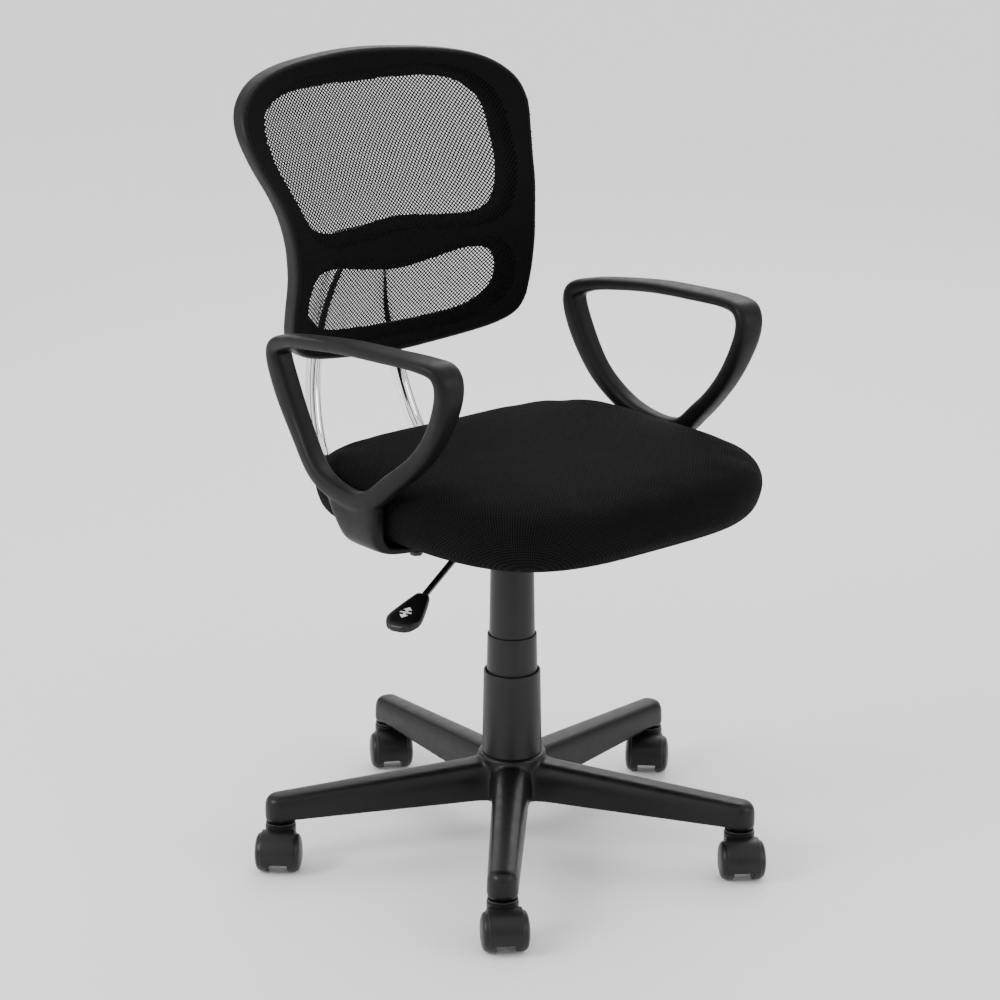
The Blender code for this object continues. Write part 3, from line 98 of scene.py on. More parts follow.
class Graph:
    """Short calls that add and link the nodes of one material."""

    def __init__(self, material: bpy.types.Material) -> None:
        """Start on a material's node tree.

        Args:
            material: a material with the default Principled shader.
        """
        self.tree = material.node_tree
        self.shader = self.tree.nodes["Principled BSDF"]

    def add(self, kind: str, **settings: object) -> bpy.types.Node:
        """Add a node and set its properties.

        Args:
            kind: the node's type name.
            **settings: property values to set on it.

        Returns:
            The new node.
        """
        node = self.tree.nodes.new(kind)
        for key, value in settings.items():
            setattr(node, key, value)
        return node

    def feed(self, node: bpy.types.Node, key: str | int, value: object) -> None:
        """Give an input either a link or a plain value.

        Args:
            node: the node that has the input.
            key: the input's name or number.
            value: an output socket, or a value to set.
        """
        if isinstance(value, bpy.types.NodeSocket):
            self.tree.links.new(value, node.inputs[key])
        else:
            node.inputs[key].default_value = value

    def math(self, operation: str, first: object, second: object = 0.0) -> bpy.types.NodeSocket:
        """Add a Math node.

        Args:
            operation: the Math node's operation.
            first: a link or number.
            second: a link or number.

        Returns:
            The result's socket.
        """
        node = self.add("ShaderNodeMath", operation=operation)
        self.feed(node, 0, first)
        self.feed(node, 1, second)
        return node.outputs[0]

    def vector(self, operation: str, first: object, second: object = (0.0, 0.0, 0.0)) -> bpy.types.NodeSocket:
        """Add a Vector Math node.

        Args:
            operation: the Vector Math node's operation.
            first: a link or three numbers.
            second: a link or three numbers.

        Returns:
            The result's socket, a number for LENGTH and a vector otherwise.
        """
        node = self.add("ShaderNodeVectorMath", operation=operation)
        self.feed(node, 0, first)
        self.feed(node, 1, second)
        return node.outputs["Value" if operation == "LENGTH" else "Vector"]

    def spread(
        self, value: object, low: float, high: float, out_low: float, out_high: float
    ) -> bpy.types.NodeSocket:
        """Map a value smoothly from one range to another.

        Args:
            value: the link to map.
            low: lower end of the incoming range.
            high: upper end of the incoming range.
            out_low: result at the lower end.
            out_high: result at the upper end.

        Returns:
            The result's socket.
        """
        node = self.add("ShaderNodeMapRange", interpolation_type="SMOOTHSTEP")
        for key, item in zip(range(5), (value, low, high, out_low, out_high)):
            self.feed(node, key, item)
        return node.outputs[0]

    def place(self) -> bpy.types.NodeSocket:
        """Return the position on the object, in metres."""
        return self.add("ShaderNodeTexCoord").outputs["Object"]

    def noise(
        self, place: object, size: float, detail: float = 3.0, rough: float = 0.55
    ) -> bpy.types.NodeSocket:
        """Add a noise pattern.

        Args:
            place: the coordinates' socket.
            size: size of the pattern's grains in metres.
            detail: how many finer layers it has.
            rough: how strong the finer layers are.

        Returns:
            The pattern's socket, from 0 to 1.
        """
        node = self.add("ShaderNodeTexNoise")
        self.feed(node, "Vector", place)
        self.feed(node, "Scale", 1.0 / size)
        self.feed(node, "Detail", detail)
        self.feed(node, "Roughness", rough)
        return node.outputs[0]

    def blend_colour(
        self, share: object, first: Sequence[float], second: Sequence[float]
    ) -> bpy.types.NodeSocket:
        """Mix two colours.

        Args:
            share: how much of the second colour shows.
            first: red, green and blue of the first colour.
            second: red, green and blue of the second colour.

        Returns:
            The mixed colour's socket.
        """
        node = self.add("ShaderNodeMix", data_type="RGBA")
        self.feed(node, 0, share)
        node.inputs[6].default_value = (*first, 1.0)
        node.inputs[7].default_value = (*second, 1.0)
        return node.outputs[2]

    def bump(
        self, height: object, depth: float, strength: float = 1.0, below: object = None
    ) -> bpy.types.NodeSocket:
        """Turn a height pattern into a bumped normal.

        Args:
            height: the pattern's socket, from 0 to 1.
            depth: how deep the pattern is, in metres.
            strength: how strongly it shows.
            below: a bumped normal to build on, if any.

        Returns:
            The normal's socket.
        """
        node = self.add("ShaderNodeBump")
        self.feed(node, "Strength", strength)
        self.feed(node, "Distance", depth)
        self.feed(node, "Height", height)
        if below is not None:
            self.feed(node, "Normal", below)
        return node.outputs[0]

    def staggered_dots(
        self, place: object, across: float, along: float, inner: float, outer: float
    ) -> bpy.types.NodeSocket:
        """Pattern of round dots in staggered rows: 0 inside a dot and 1 outside.

        Args:
            place: the coordinates' socket.
            across: spacing within a row.
            along: spacing of alike rows.
            inner: where a dot starts to fade, as a share of the spacing.
            outer: where a dot has ended.

        Returns:
            The pattern's socket.
        """
        cells = self.vector("MULTIPLY", place, (1.0 / across, 1.0 / along, 0.0))
        shifted = self.vector("ADD", cells, (0.5, 0.5, 0.0))
        gaps = []
        for grid in (cells, shifted):
            inside = self.vector("FRACTION", grid)
            gaps.append(self.vector("LENGTH", self.vector("SUBTRACT", inside, (0.5, 0.5, 0.0))))
        return self.spread(self.math("MINIMUM", *gaps), inner, outer, 0.0, 1.0)


@dataclass(frozen=True)
class Finish:
    """A surface finish; each kind adds its own pattern of nodes."""

    name: str
    colour: tuple[float, float, float]
    roughness: float
    metallic: float = 0.0
    gloss: float = 0.5

    def material(self) -> bpy.types.Material:
        """Return this finish's material, made once."""
        found = bpy.data.materials.get(f"look_{self.name}")
        if found:
            return found
        made = bpy.data.materials.new(f"look_{self.name}")
        made.use_nodes = True
        graph = Graph(made)
        graph.shader.inputs["Base Color"].default_value = (*self.colour, 1.0)
        graph.shader.inputs["Roughness"].default_value = self.roughness
        graph.shader.inputs["Metallic"].default_value = self.metallic
        graph.shader.inputs["Specular IOR Level"].default_value = self.gloss
        self.detail(graph)
        return made

    def detail(self, graph: Graph) -> None:
        """Add the finish's own nodes.

        Args:
            graph: the material's nodes.
        """

    def shade(self, factor: float) -> tuple[float, float, float]:
        """Return the finish's colour made lighter or darker by a factor."""
        red, green, blue = self.colour
        return (red * factor, green * factor, blue * factor)


@dataclass(frozen=True)
class MouldedPlastic(Finish):
    """Injection-moulded plastic with a fine spark-eroded grain."""

    grain: float = 0.45 * MM
    grain_depth: float = 0.05 * MM
    handling: float = 0.10

    def detail(self, graph: Graph) -> None:
        """Add grain, slow waves in the gloss and a faint change of colour."""
        place = graph.place()
        grain = graph.noise(place, self.grain, 2.0, 0.6)
        sink = graph.noise(place, 60 * MM, 2.0, 0.5)
        rub = graph.noise(place, 14 * MM, 4.0, 0.6)
        smoothest, roughest = self.roughness - self.handling / 2, self.roughness + self.handling / 2
        rough = graph.spread(rub, 0.3, 0.75, smoothest, roughest)
        graph.feed(graph.shader, "Roughness", rough)
        tint = graph.spread(sink, 0.3, 0.7, 0.0, 1.0)
        graph.feed(graph.shader, "Base Color", graph.blend_colour(tint, self.shade(0.88), self.shade(1.15)))
        slow = graph.bump(sink, 0.6 * MM, 0.35)
        graph.feed(graph.shader, "Normal", graph.bump(grain, self.grain_depth, 0.55, slow))


@dataclass(frozen=True)
class PowderCoat(Finish):
    """Baked powder coat with a slight orange peel."""

    peel: float = 1.6 * MM

    def detail(self, graph: Graph) -> None:
        """Add orange peel and fine dust in the gloss."""
        place = graph.place()
        peel = graph.noise(place, self.peel, 1.5, 0.5)
        dust = graph.noise(place, 6 * MM, 4.0, 0.7)
        rough = graph.spread(dust, 0.3, 0.8, self.roughness * 0.8, self.roughness * 1.3)
        graph.feed(graph.shader, "Roughness", rough)
        graph.feed(graph.shader, "Normal", graph.bump(peel, 0.08 * MM, 0.5))


@dataclass(frozen=True)
class PlatedMetal(Finish):
    """Polished plate, or plain bright steel when it is rougher."""

    streak: float = 0.03

    def detail(self, graph: Graph) -> None:
        """Add faint polishing marks to the gloss."""
        place = graph.place()
        stretched = graph.vector("MULTIPLY", place, (1.0, 1.0, 0.12))
        marks = graph.noise(stretched, 1.2 * MM, 3.0, 0.6)
        haze = graph.noise(place, 25 * MM, 3.0, 0.5)
        near, far = (graph.math("MULTIPLY", pattern, self.streak) for pattern in (marks, haze))
        total = graph.math("ADD", near, far)
        graph.feed(graph.shader, "Roughness", graph.math("ADD", total, self.roughness - self.streak))
        graph.feed(graph.shader, "Normal", graph.bump(marks, 0.01 * MM, 0.15))


@dataclass(frozen=True)
class SpacerFabric(Finish):
    """Knitted fabric with staggered pinholes that hold painted shade, read from the piece's own UV map in metres.
    """

    across: float = 4.6 * MM
    along: float = 4.3 * MM
    depth: float = 0.7 * MM
    thread: float = 2.6
    sheen: float = 0.12

    def detail(self, graph: Graph) -> None:
        """Add pinholes in relief with painted shade in them, twisted yarn between them and a slight nap."""
        cloth = graph.add("ShaderNodeUVMap", uv_map="weave").outputs[0]
        place = graph.place()
        # the dot pattern drives both the pinholes' relief and their painted shade
        pinholes_and_hole_shade = graph.staggered_dots(cloth, self.across, self.along, 0.20, 0.42)
        nap = graph.noise(place, 35 * MM, 3.0, 0.6)
        yarn = graph.noise(place, 0.5 * MM, 2.0, 0.7)
        light = graph.math("MULTIPLY", pinholes_and_hole_shade, graph.spread(nap, 0.25, 0.8, 0.75, 1.15))
        light = graph.math("MULTIPLY", light, graph.spread(yarn, 0.25, 0.75, 0.7, 1.2))
        # painted shade: the pinholes take a fifth of the base colour, far darker than the yarn, for the shade
        # inside them
        yarn_and_hole_shade_colour = graph.blend_colour(light, self.shade(0.2), self.shade(self.thread))
        graph.feed(graph.shader, "Base Color", yarn_and_hole_shade_colour)
        lift = graph.math("ADD", pinholes_and_hole_shade, graph.math("MULTIPLY", yarn, 0.25))
        graph.feed(graph.shader, "Normal", graph.bump(lift, self.depth, 0.9))
        graph.shader.inputs["Sheen Weight"].default_value = self.sheen
        graph.shader.inputs["Sheen Roughness"].default_value = 0.5


@dataclass(frozen=True)
class NonWoven(Finish):
    """Thin felted cloth, or any surface with short random fibres."""

    fibre: float = 1.1 * MM
    mottle: float = 0.4

    def detail(self, graph: Graph) -> None:
        """Add tangled fibres."""
        place = graph.place()
        fibres = graph.noise(place, self.fibre, 5.0, 0.75)
        mottled = graph.blend_colour(fibres, self.shade(1.0 - self.mottle), self.shade(1.0 + self.mottle))
        graph.feed(graph.shader, "Base Color", mottled)
        graph.feed(graph.shader, "Normal", graph.bump(fibres, 0.3 * MM, 0.7))


@dataclass(frozen=True)
class Plywood(Finish):
    """Beech plywood with straight grain."""

    def detail(self, graph: Graph) -> None:
        """Add grain that runs front to back."""
        place = graph.place()
        stretched = graph.vector("MULTIPLY", place, (1.0, 0.06, 1.0))
        grain = graph.noise(stretched, 3.0 * MM, 5.0, 0.6)
        graph.feed(graph.shader, "Base Color", graph.blend_colour(grain, self.shade(0.6), self.shade(1.2)))
        graph.feed(graph.shader, "Normal", graph.bump(grain, 0.1 * MM, 0.4))


ARM_PLASTIC = MouldedPlastic("arm_plastic", (0.0042, 0.0042, 0.0044), 0.46, gloss=0.17)
FRAME_PLASTIC = MouldedPlastic("frame_plastic", (0.0032, 0.0032, 0.0034), 0.46, gloss=0.22)
SLEEVE_PLASTIC = MouldedPlastic("sleeve_plastic", (0.0050, 0.0050, 0.0052), 0.40, gloss=0.30, handling=0.06)
BASE_NYLON = MouldedPlastic("base_nylon", (0.0032, 0.0032, 0.0034), 0.38, gloss=0.26, grain=0.7 * MM)
CASTER_NYLON = MouldedPlastic("caster_nylon", (0.0045, 0.0045, 0.0047), 0.40, gloss=0.30)
WHEEL_NYLON = MouldedPlastic("wheel_nylon", (0.0055, 0.0055, 0.0057), 0.38, gloss=0.30)
PADDLE_PLASTIC = MouldedPlastic("paddle_plastic", (0.0030, 0.0030, 0.0032), 0.35, gloss=0.28)
BLACK_COAT = PowderCoat("black_coat", (0.0040, 0.0040, 0.0042), 0.30, gloss=0.3)
LEVER_COAT = PowderCoat("lever_coat", (0.0025, 0.0025, 0.0027), 0.14, gloss=0.4)
CHROME = PlatedMetal("chrome_plate", (0.83, 0.84, 0.85), 0.06, 1.0)
BRIGHT_STEEL = PlatedMetal("bright_steel", (0.50, 0.50, 0.51), 0.30, 1.0, streak=0.08)
DARK_STEEL = PlatedMetal("dark_steel", (0.035, 0.035, 0.037), 0.38, 1.0, streak=0.08)
ACETAL = MouldedPlastic("acetal", (0.75, 0.74, 0.70), 0.45)
# SpacerFabric paints shade into the pinholes of both the seat cloth and the net, also where the net has no real
# holes
SEAT_CLOTH = SpacerFabric("seat_cloth", (0.0014, 0.0014, 0.0015), 0.85, gloss=0.06, sheen=0.0, thread=8.0)
NET_YARN = SpacerFabric(
    "net_yarn",
    (0.0018, 0.0018, 0.0019),
    0.82,
    gloss=0.10,
    across=2.5 * MM,
    along=2.35 * MM,
    depth=0.25 * MM,
    thread=2.2,
    sheen=0.004,
)
NET_WELT = NonWoven("net_welt", (0.0030, 0.0030, 0.0030), 0.8, gloss=0.15, fibre=1.6 * MM)
UNDER_CLOTH = NonWoven("under_cloth", (0.006, 0.006, 0.006), 0.95, gloss=0.15)
PLY = Plywood("plywood", (0.52, 0.38, 0.24), 0.65)
WHITE_INK = NonWoven("white_ink", (0.80, 0.80, 0.80), 0.55, fibre=0.4 * MM, mottle=0.1)
CARD_FELT = NonWoven("card_felt", (0.01, 0.01, 0.01), 0.95, gloss=0.05)
FLOOR_PAINT = NonWoven("floor_paint", (0.93, 0.93, 0.93), 0.9, gloss=0.1, fibre=0.6 * MM, mottle=0.02)


# ------------------------------------------------------------------ modelling helpers


def between(t: float, a: float, b: float, c: float, d: float) -> float:
    """Value on the smooth curve from b to c, a share t of the way, with neighbours a and d."""
    return 0.5 * (2 * b + (c - a) * t + (2 * a - 5 * b + 4 * c - d) * t**2 + (3 * b - a - 3 * c + d) * t**3)


def flow(rows: Sequence[Row], steps: int, closed: bool = False) -> list[tuple[float, ...]]:
    """Carry rows of numbers along a smooth curve through every row.

    Args:
        rows: the rows to pass through.
        steps: how many rows to make between neighbours.
        closed: whether the curve runs back to its start.

    Returns:
        The finer rows.
    """
    count = len(rows)
    out: list[tuple[float, ...]] = []
    for span in range(count if closed else count - 1):
        if closed:
            picked = [rows[(span + step) % count] for step in (-1, 0, 1, 2)]
        else:
            picked = [rows[min(max(span + step, 0), count - 1)] for step in (-1, 0, 1, 2)]
        for step in range(steps):
            out.append(tuple(between(step / steps, *corners) for corners in zip(*picked)))
    if not closed:
        out.append(tuple(rows[-1]))
    return out


def oval(
    centre: Vector, across: Vector, out: Vector, half_across: float, half_out: float, count: int, square: float
) -> Ring:
    """Ring of points on a superellipse.

    Args:
        centre: the ring's middle.
        across: unit direction of its first half size.
        out: unit direction of its second half size.
        half_across: half size along across.
        half_out: half size along out.
        count: how many points it has.
        square: 2 for an ellipse, and more for a squarer form.

    Returns:
        The ring's points.
    """
    ring = []
    for index in range(count):
        angle = FULL_TURN * (index + 0.5) / count
        c, s = math.cos(angle), math.sin(angle)
        u = half_across * math.copysign(abs(c) ** (2.0 / square), c)
        v = half_out * math.copysign(abs(s) ** (2.0 / square), s)
        ring.append(centre + across * u + out * v)
    return ring


def loft(rings: Sequence[Ring], closed: bool = False) -> bmesh.types.BMesh:
    """Bridge rings of points into one closed skin.

    Args:
        rings: rings with the same number of points.
        closed: whether the last ring joins the first.

    Returns:
        The bmesh that holds the skin.
    """
    shape = bmesh.new()
    loops: list[list[bmesh.types.BMEdge]] = []
    for ring in rings:
        verts = [shape.verts.new(point) for point in ring]
        loops.append([shape.edges.new(pair) for pair in zip(verts, verts[1:] + verts[:1])])
    pairs = list(zip(loops, loops[1:]))
    if closed:
        pairs.append((loops[-1], loops[0]))
    for here, there in pairs:
        bmesh.ops.bridge_loops(shape, edges=here + there)
    if not closed:
        for loop in (loops[0], loops[-1]):
            bmesh.ops.holes_fill(shape, edges=loop, sides=0)
    bmesh.ops.recalc_face_normals(shape, faces=shape.faces[:])
    return shape


def spin(
    profile: Sequence[Corner], steps: int, centre: Vector, axis: Vector = Z_AXIS
) -> bmesh.types.BMesh:
    """Turn a closed outline of (radius, height) points about an axis.

    Args:
        profile: the outline's corners.
        steps: how many steps make a full turn.
        centre: a point on the axis, from which heights count.
        axis: the axis to turn about.

    Returns:
        A bmesh with the turned form.
    """
    shape = bmesh.new()
    start = X_AXIS if abs(axis.z) > 0.5 else Z_AXIS
    verts = [shape.verts.new(centre + start * radius + axis * height) for radius, height in profile]
    closed = profile[0][0] > 0.0 or profile[-1][0] > 0.0
    ends = verts[1:] + verts[:1] if closed else verts[1:]
    edges = [shape.edges.new(pair) for pair in zip(verts, ends)]
    bmesh.ops.spin(
        shape, geom=verts + edges, cent=centre, axis=axis, angle=FULL_TURN, steps=steps, use_merge=True
    )
    bmesh.ops.remove_doubles(shape, verts=shape.verts, dist=0.005 * MM)
    bmesh.ops.recalc_face_normals(shape, faces=shape.faces[:])
    return shape


def arc_corner(
    radius: float, height: float, round_by: float, start: float, steps: int = 4
) -> list[Corner]:
    """Quarter-round corner of a profile.

    Args:
        radius: radius of the rounding's middle.
        height: height of the rounding's middle.
        round_by: radius of the rounding.
        start: angle in degrees at which it starts; it turns clockwise by 90.
        steps: how many pieces it has.

    Returns:
        Its points.
    """
    points = []
    for step in range(steps + 1):
        angle = math.radians(start - 90.0 * step / steps)
        points.append((radius + round_by * math.cos(angle), height + round_by * math.sin(angle)))
    return points


def drum(start: Vector, end: Vector, radius: float, sides: int = 60) -> bmesh.types.BMesh:
    """Capped round bar between two points."""
    shape = bmesh.new()
    run = end - start
    place = Matrix.Translation((start + end) / 2) @ run.to_track_quat("Z", "Y").to_matrix().to_4x4()
    bmesh.ops.create_cone(
        shape, cap_ends=True, segments=sides, radius1=radius, radius2=radius, depth=run.length, matrix=place
    )
    return shape


def to_mesh(shape: bmesh.types.BMesh, name: str) -> bpy.types.Mesh:
    """Write a bmesh out as a smooth-shaded mesh and free it."""
    mesh = bpy.data.meshes.new(name)
    shape.to_mesh(mesh)
    shape.free()
    mesh.shade_smooth()
    return mesh


def in_scene(mesh: bpy.types.Mesh, name: str) -> bpy.types.Object:
    """Put a mesh in the scene under a name."""
    thing = bpy.data.objects.new(name, mesh)
    bpy.context.scene.collection.objects.link(thing)
    return thing


def settled(thing: bpy.types.Object) -> bpy.types.Mesh:
    """Apply an object's modifiers, remove the object and return the result.

    Args:
        thing: the object, which sits at the origin.

    Returns:
        A mesh with every modifier applied.
    """
    graph = bpy.context.evaluated_depsgraph_get()
    mesh = bpy.data.meshes.new_from_object(thing.evaluated_get(graph), depsgraph=graph)
    name = thing.name
    old = thing.data
    bpy.data.objects.remove(thing, do_unlink=True)
    if old.users == 0:
        bpy.data.meshes.remove(old)
    mesh.name = name
    mesh.shade_smooth()
    return mesh


def combined(base: bpy.types.Mesh, tool: bpy.types.Mesh, how: Joining) -> bpy.types.Mesh:
    """Combine two solids.

    Args:
        base: the solid to change.
        tool: the solid to change it with.
        how: whether to add, cut or keep what both hold.

    Returns:
        The new solid.
    """
    body = in_scene(base, base.name)
    cutter = in_scene(tool, f"{tool.name}_tool")
    modifier = body.modifiers.new("combine", "BOOLEAN")
    modifier.operation = how.value
    modifier.solver = "EXACT"
    modifier.object = cutter
    made = settled(body)
    bpy.data.objects.remove(cutter, do_unlink=True)
    return made


def fused(meshes: Sequence[bpy.types.Mesh], name: str, voxel: float, passes: int) -> bpy.types.Mesh:
    """Melt overlapping solids into one soft moulded form.

    Args:
        meshes: the solids.
        name: the new mesh's name.
        voxel: size of the grid that it is rebuilt on.
        passes: how many times it is smoothed.

    Returns:
        The moulded mesh.
    """
    shape = bmesh.new()
    for mesh in meshes:
        shape.from_mesh(mesh)
    body = in_scene(to_mesh(shape, name), name)
    remesh = body.modifiers.new("rebuild", "REMESH")
    remesh.mode = "VOXEL"
    remesh.voxel_size = voxel
    ease = body.modifiers.new("ease", "SMOOTH")
    ease.factor = 0.5
    ease.iterations = passes
    return settled(body)


def bevelled(
    mesh: bpy.types.Mesh, width: float, segments: int = 2, angle: float = SHARP_ANGLE
) -> bpy.types.Mesh:
    """Round the edges of a solid that are sharper than an angle.

    Args:
        mesh: the solid.
        width: how wide each rounding is.
        segments: how many faces make it.
        angle: edges flatter than this stay as they are.

    Returns:
        The rounded solid.
    """
    shape = bmesh.new()
    shape.from_mesh(mesh)
    bmesh.ops.remove_doubles(shape, verts=shape.verts, dist=0.01 * MM)
    bmesh.ops.dissolve_limit(shape, angle_limit=math.radians(1.0), verts=shape.verts[:], edges=shape.edges[:])
    sharp = [edge for edge in shape.edges if edge.is_manifold and edge.calc_face_angle(0.0) > angle]
    bmesh.ops.bevel(
        shape,
        geom=sharp,
        offset=width,
        offset_type="OFFSET",
        segments=segments,
        profile=0.5,
        affect="EDGES",
        clamp_overlap=True,
        material=-1,
    )
    return to_mesh(shape, mesh.name)


@dataclass
class Piece:
    """One finished piece: its mesh, finish, body, slot and the CAD nodes it stands for."""

    name: str
    mesh: bpy.types.Mesh
    finish: Finish
    body: str
    slot: str
    stands_for: Sequence[str] = ()
    crisp: bool = True

    def settle(self) -> bpy.types.Object:
        """Put the piece in the scene, dress it and tie it to its body.

        Returns:
            The piece's object.
        """
        thing = in_scene(self.mesh, self.name)
        self.mesh.materials.clear()
        self.mesh.materials.append(self.finish.material())
        self.mesh.shade_smooth()
        if self.crisp:
            self.mesh.set_sharp_from_angle(angle=SHARP_ANGLE)
        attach(thing, self.body)
        if self.stands_for:
            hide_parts(*self.stands_for)
        LOG.info("%s: %d faces, on %s", self.name, len(self.mesh.polygons), self.body)
        return thing


# ------------------------------------------------------------------ base and casters

COLUMN = sum((Vector(corner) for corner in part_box("gas_cylinder")), Vector()) / 2
COLUMN.z = 0.0


def top_of(node: str) -> float:
    """Height of a CAD node's highest point."""
    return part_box(node)[1][2]


def bottom_of(node: str) -> float:
    """Height of a CAD node's lowest point."""
    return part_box(node)[0][2]


def joint_named(name: str) -> dict:
    """Return a joint of the frame by its name."""
    return next(joint for joint in frame["joints"] if joint["name"] == name)


@dataclass
class StarBase:
    """Moulded five-legged base with hollow, ribbed legs."""

    legs: int = 5
    stem_circle: float = 275 * MM
    half_hub: float = 22.0 * MM
    half_tip: float = 17.3 * MM
    height_hub: float = 48.5 * MM
    height_tip: float = 29.0 * MM
    wall: float = 4.0 * MM
    hub_radius: float = 39.6 * MM
    boss_radius: float = 16.2 * MM
    boss_drop: float = 4.0 * MM
    tube_radius: float = 25.3 * MM
    stem_bore: float = 5.6 * MM
    voxel: float = 1.9 * MM
    rib: float = 3.0 * MM
    rib_count: int = 4
    draw_in: float = 0.985
    shoulder: float = 0.62
    roundness: float = 0.80

    @property
    def low(self) -> float:
        """Height of the legs' lower edges."""
        return bottom_of("star_base") + self.boss_drop

    def heading(self, number: int) -> Matrix:
        """Turn that carries a leg built along +X to its place."""
        stem = Vector(joint_named(f"caster_{number + 1}_swivel")["pos_m"]) - COLUMN
        return Matrix.Translation(COLUMN) @ Matrix.Rotation(math.atan2(stem.y, stem.x), 4, "Z")

    def size_at(self, x: float) -> tuple[float, float]:
        """Half width and height of a leg at a distance from the column."""
        share = x / self.stem_circle
        half = self.half_hub + (self.half_tip - self.half_hub) * share
        return half, self.height_hub + (self.height_tip - self.height_hub) * share

    def section(self, x: float, half: float, height: float, drop: float = 0.0) -> Ring:
        """Section of a leg: upright sides under a round crown.

        Args:
            x: distance from the column.
            half: half width.
            height: height over the lower edge.
            drop: how far the crown is lowered.

        Returns:
            The section's points.
        """
        crown = height - drop
        ring = [Vector((x, -half, self.low)), Vector((x, half, self.low))]
        steps = 18
        for step in range(steps + 1):
            angle = math.pi * step / steps
            c, s = math.cos(angle), math.sin(angle)
            y = half * self.draw_in * math.copysign(abs(c) ** self.shoulder, c)
            z = self.low + crown * 0.36 + crown * 0.64 * s**self.roundness
            ring.append(Vector((x, y, z)))
        return ring

    def leg(self) -> bpy.types.Mesh:
        """Build one leg along +X, with its round tip."""
        rings = []
        for step in range(14):
            x = self.hub_radius * 0.4 + (self.stem_circle - self.hub_radius * 0.4) * step / 13
            rings.append(self.section(x, *self.size_at(x)))
        half, height = self.size_at(self.stem_circle)
        for step in range(1, 9):
            angle = math.radians(86.0) * step / 8
            sunk = height * 0.46 * (1.0 - math.cos(angle)) ** 1.2
            x = self.stem_circle + half * math.sin(angle)
            rings.append(self.section(x, half * max(math.cos(angle), 0.10), height, sunk))
        return to_mesh(loft(rings), "leg")

    def hub(self) -> bpy.types.Mesh:
        """Build the hub with its flare up to the column's cover."""
        low = self.low - 1.5 * MM
        top = top_of("star_base")
        profile = [(0.0, top), (self.hub_radius - 2.5 * MM, top)]
        profile += arc_corner(self.hub_radius - 2.5 * MM, top - 2.5 * MM, 2.5 * MM, 90.0)
        profile += [(self.hub_radius, low + 2 * MM), (self.hub_radius - 2 * MM, low), (0.0, low)]
        return to_mesh(spin(profile, 96, COLUMN), "hub")

    def gusset(self) -> bpy.types.Mesh:
        """Build the web that widens a leg where it meets the hub."""
        rings = []
        for step in range(9):
            share = step / 8
            x = self.hub_radius * 0.5 + 34 * MM * share
            half, height = self.size_at(x)
            swell = (1.0 - share) ** 2
            rings.append(self.section(x, half + 8.5 * MM * swell, height + 2.5 * MM * swell))
        return to_mesh(loft(rings), "gusset")

    def pocket(self, start: float, end: float) -> bpy.types.Mesh:
        """Build the tool that hollows a leg from below, between two ribs."""
        rings = []
        for x in (start, end):
            half, height = self.size_at(x)
            ring = self.section(x, half - self.wall, height - self.wall)
            for point in ring[:2]:
                point.z -= 5 * MM
            rings.append(ring)
        return to_mesh(loft(rings), "pocket")

    def mesh(self) -> bpy.types.Mesh:
        """Build the whole base."""
        solids = [self.hub()]
        pockets = bmesh.new()
        leg, gusset = self.leg(), self.gusset()
        first = self.hub_radius + self.wall
        last = self.stem_circle - self.boss_radius - 3.5 * MM
        run = (last - first - self.rib * (self.rib_count - 1)) / self.rib_count
        low = bottom_of("star_base")
        for number in range(self.legs):
            turned = self.heading(number)
            for part in (leg, gusset):
                copy = part.copy()
                copy.transform(turned)
                solids.append(copy)
            stem = turned @ Vector((self.stem_circle, 0.0, 0.0))
            solids.append(
                to_mesh(drum(stem + Z_AXIS * low, stem + Z_AXIS * (low + 20 * MM), self.boss_radius), "boss")
            )
            for index in range(self.rib_count):
                start = first + index * (run + self.rib)
                cell = self.pocket(start, start + run)
                cell.transform(turned)
                pockets.from_mesh(cell)
            bore = drum(stem, stem + Z_AXIS * (low + 24.3 * MM), self.stem_bore, 32)
            pockets.from_mesh(to_mesh(bore, "bore"))
        body = fused(solids, "star_base_body", self.voxel, 7)
        tube = drum(COLUMN.copy(), COLUMN + Z_AXIS * 0.2, self.tube_radius, 96)
        pockets.from_mesh(to_mesh(tube, "tube_bore"))
        return combined(body, to_mesh(pockets, "hollows"), Joining.CUT)

    def build(self) -> None:
        """Make the base and settle it."""
        Piece("star_base_body", self.mesh(), BASE_NYLON, "base", "black_nylon", ["star_base"]).settle()


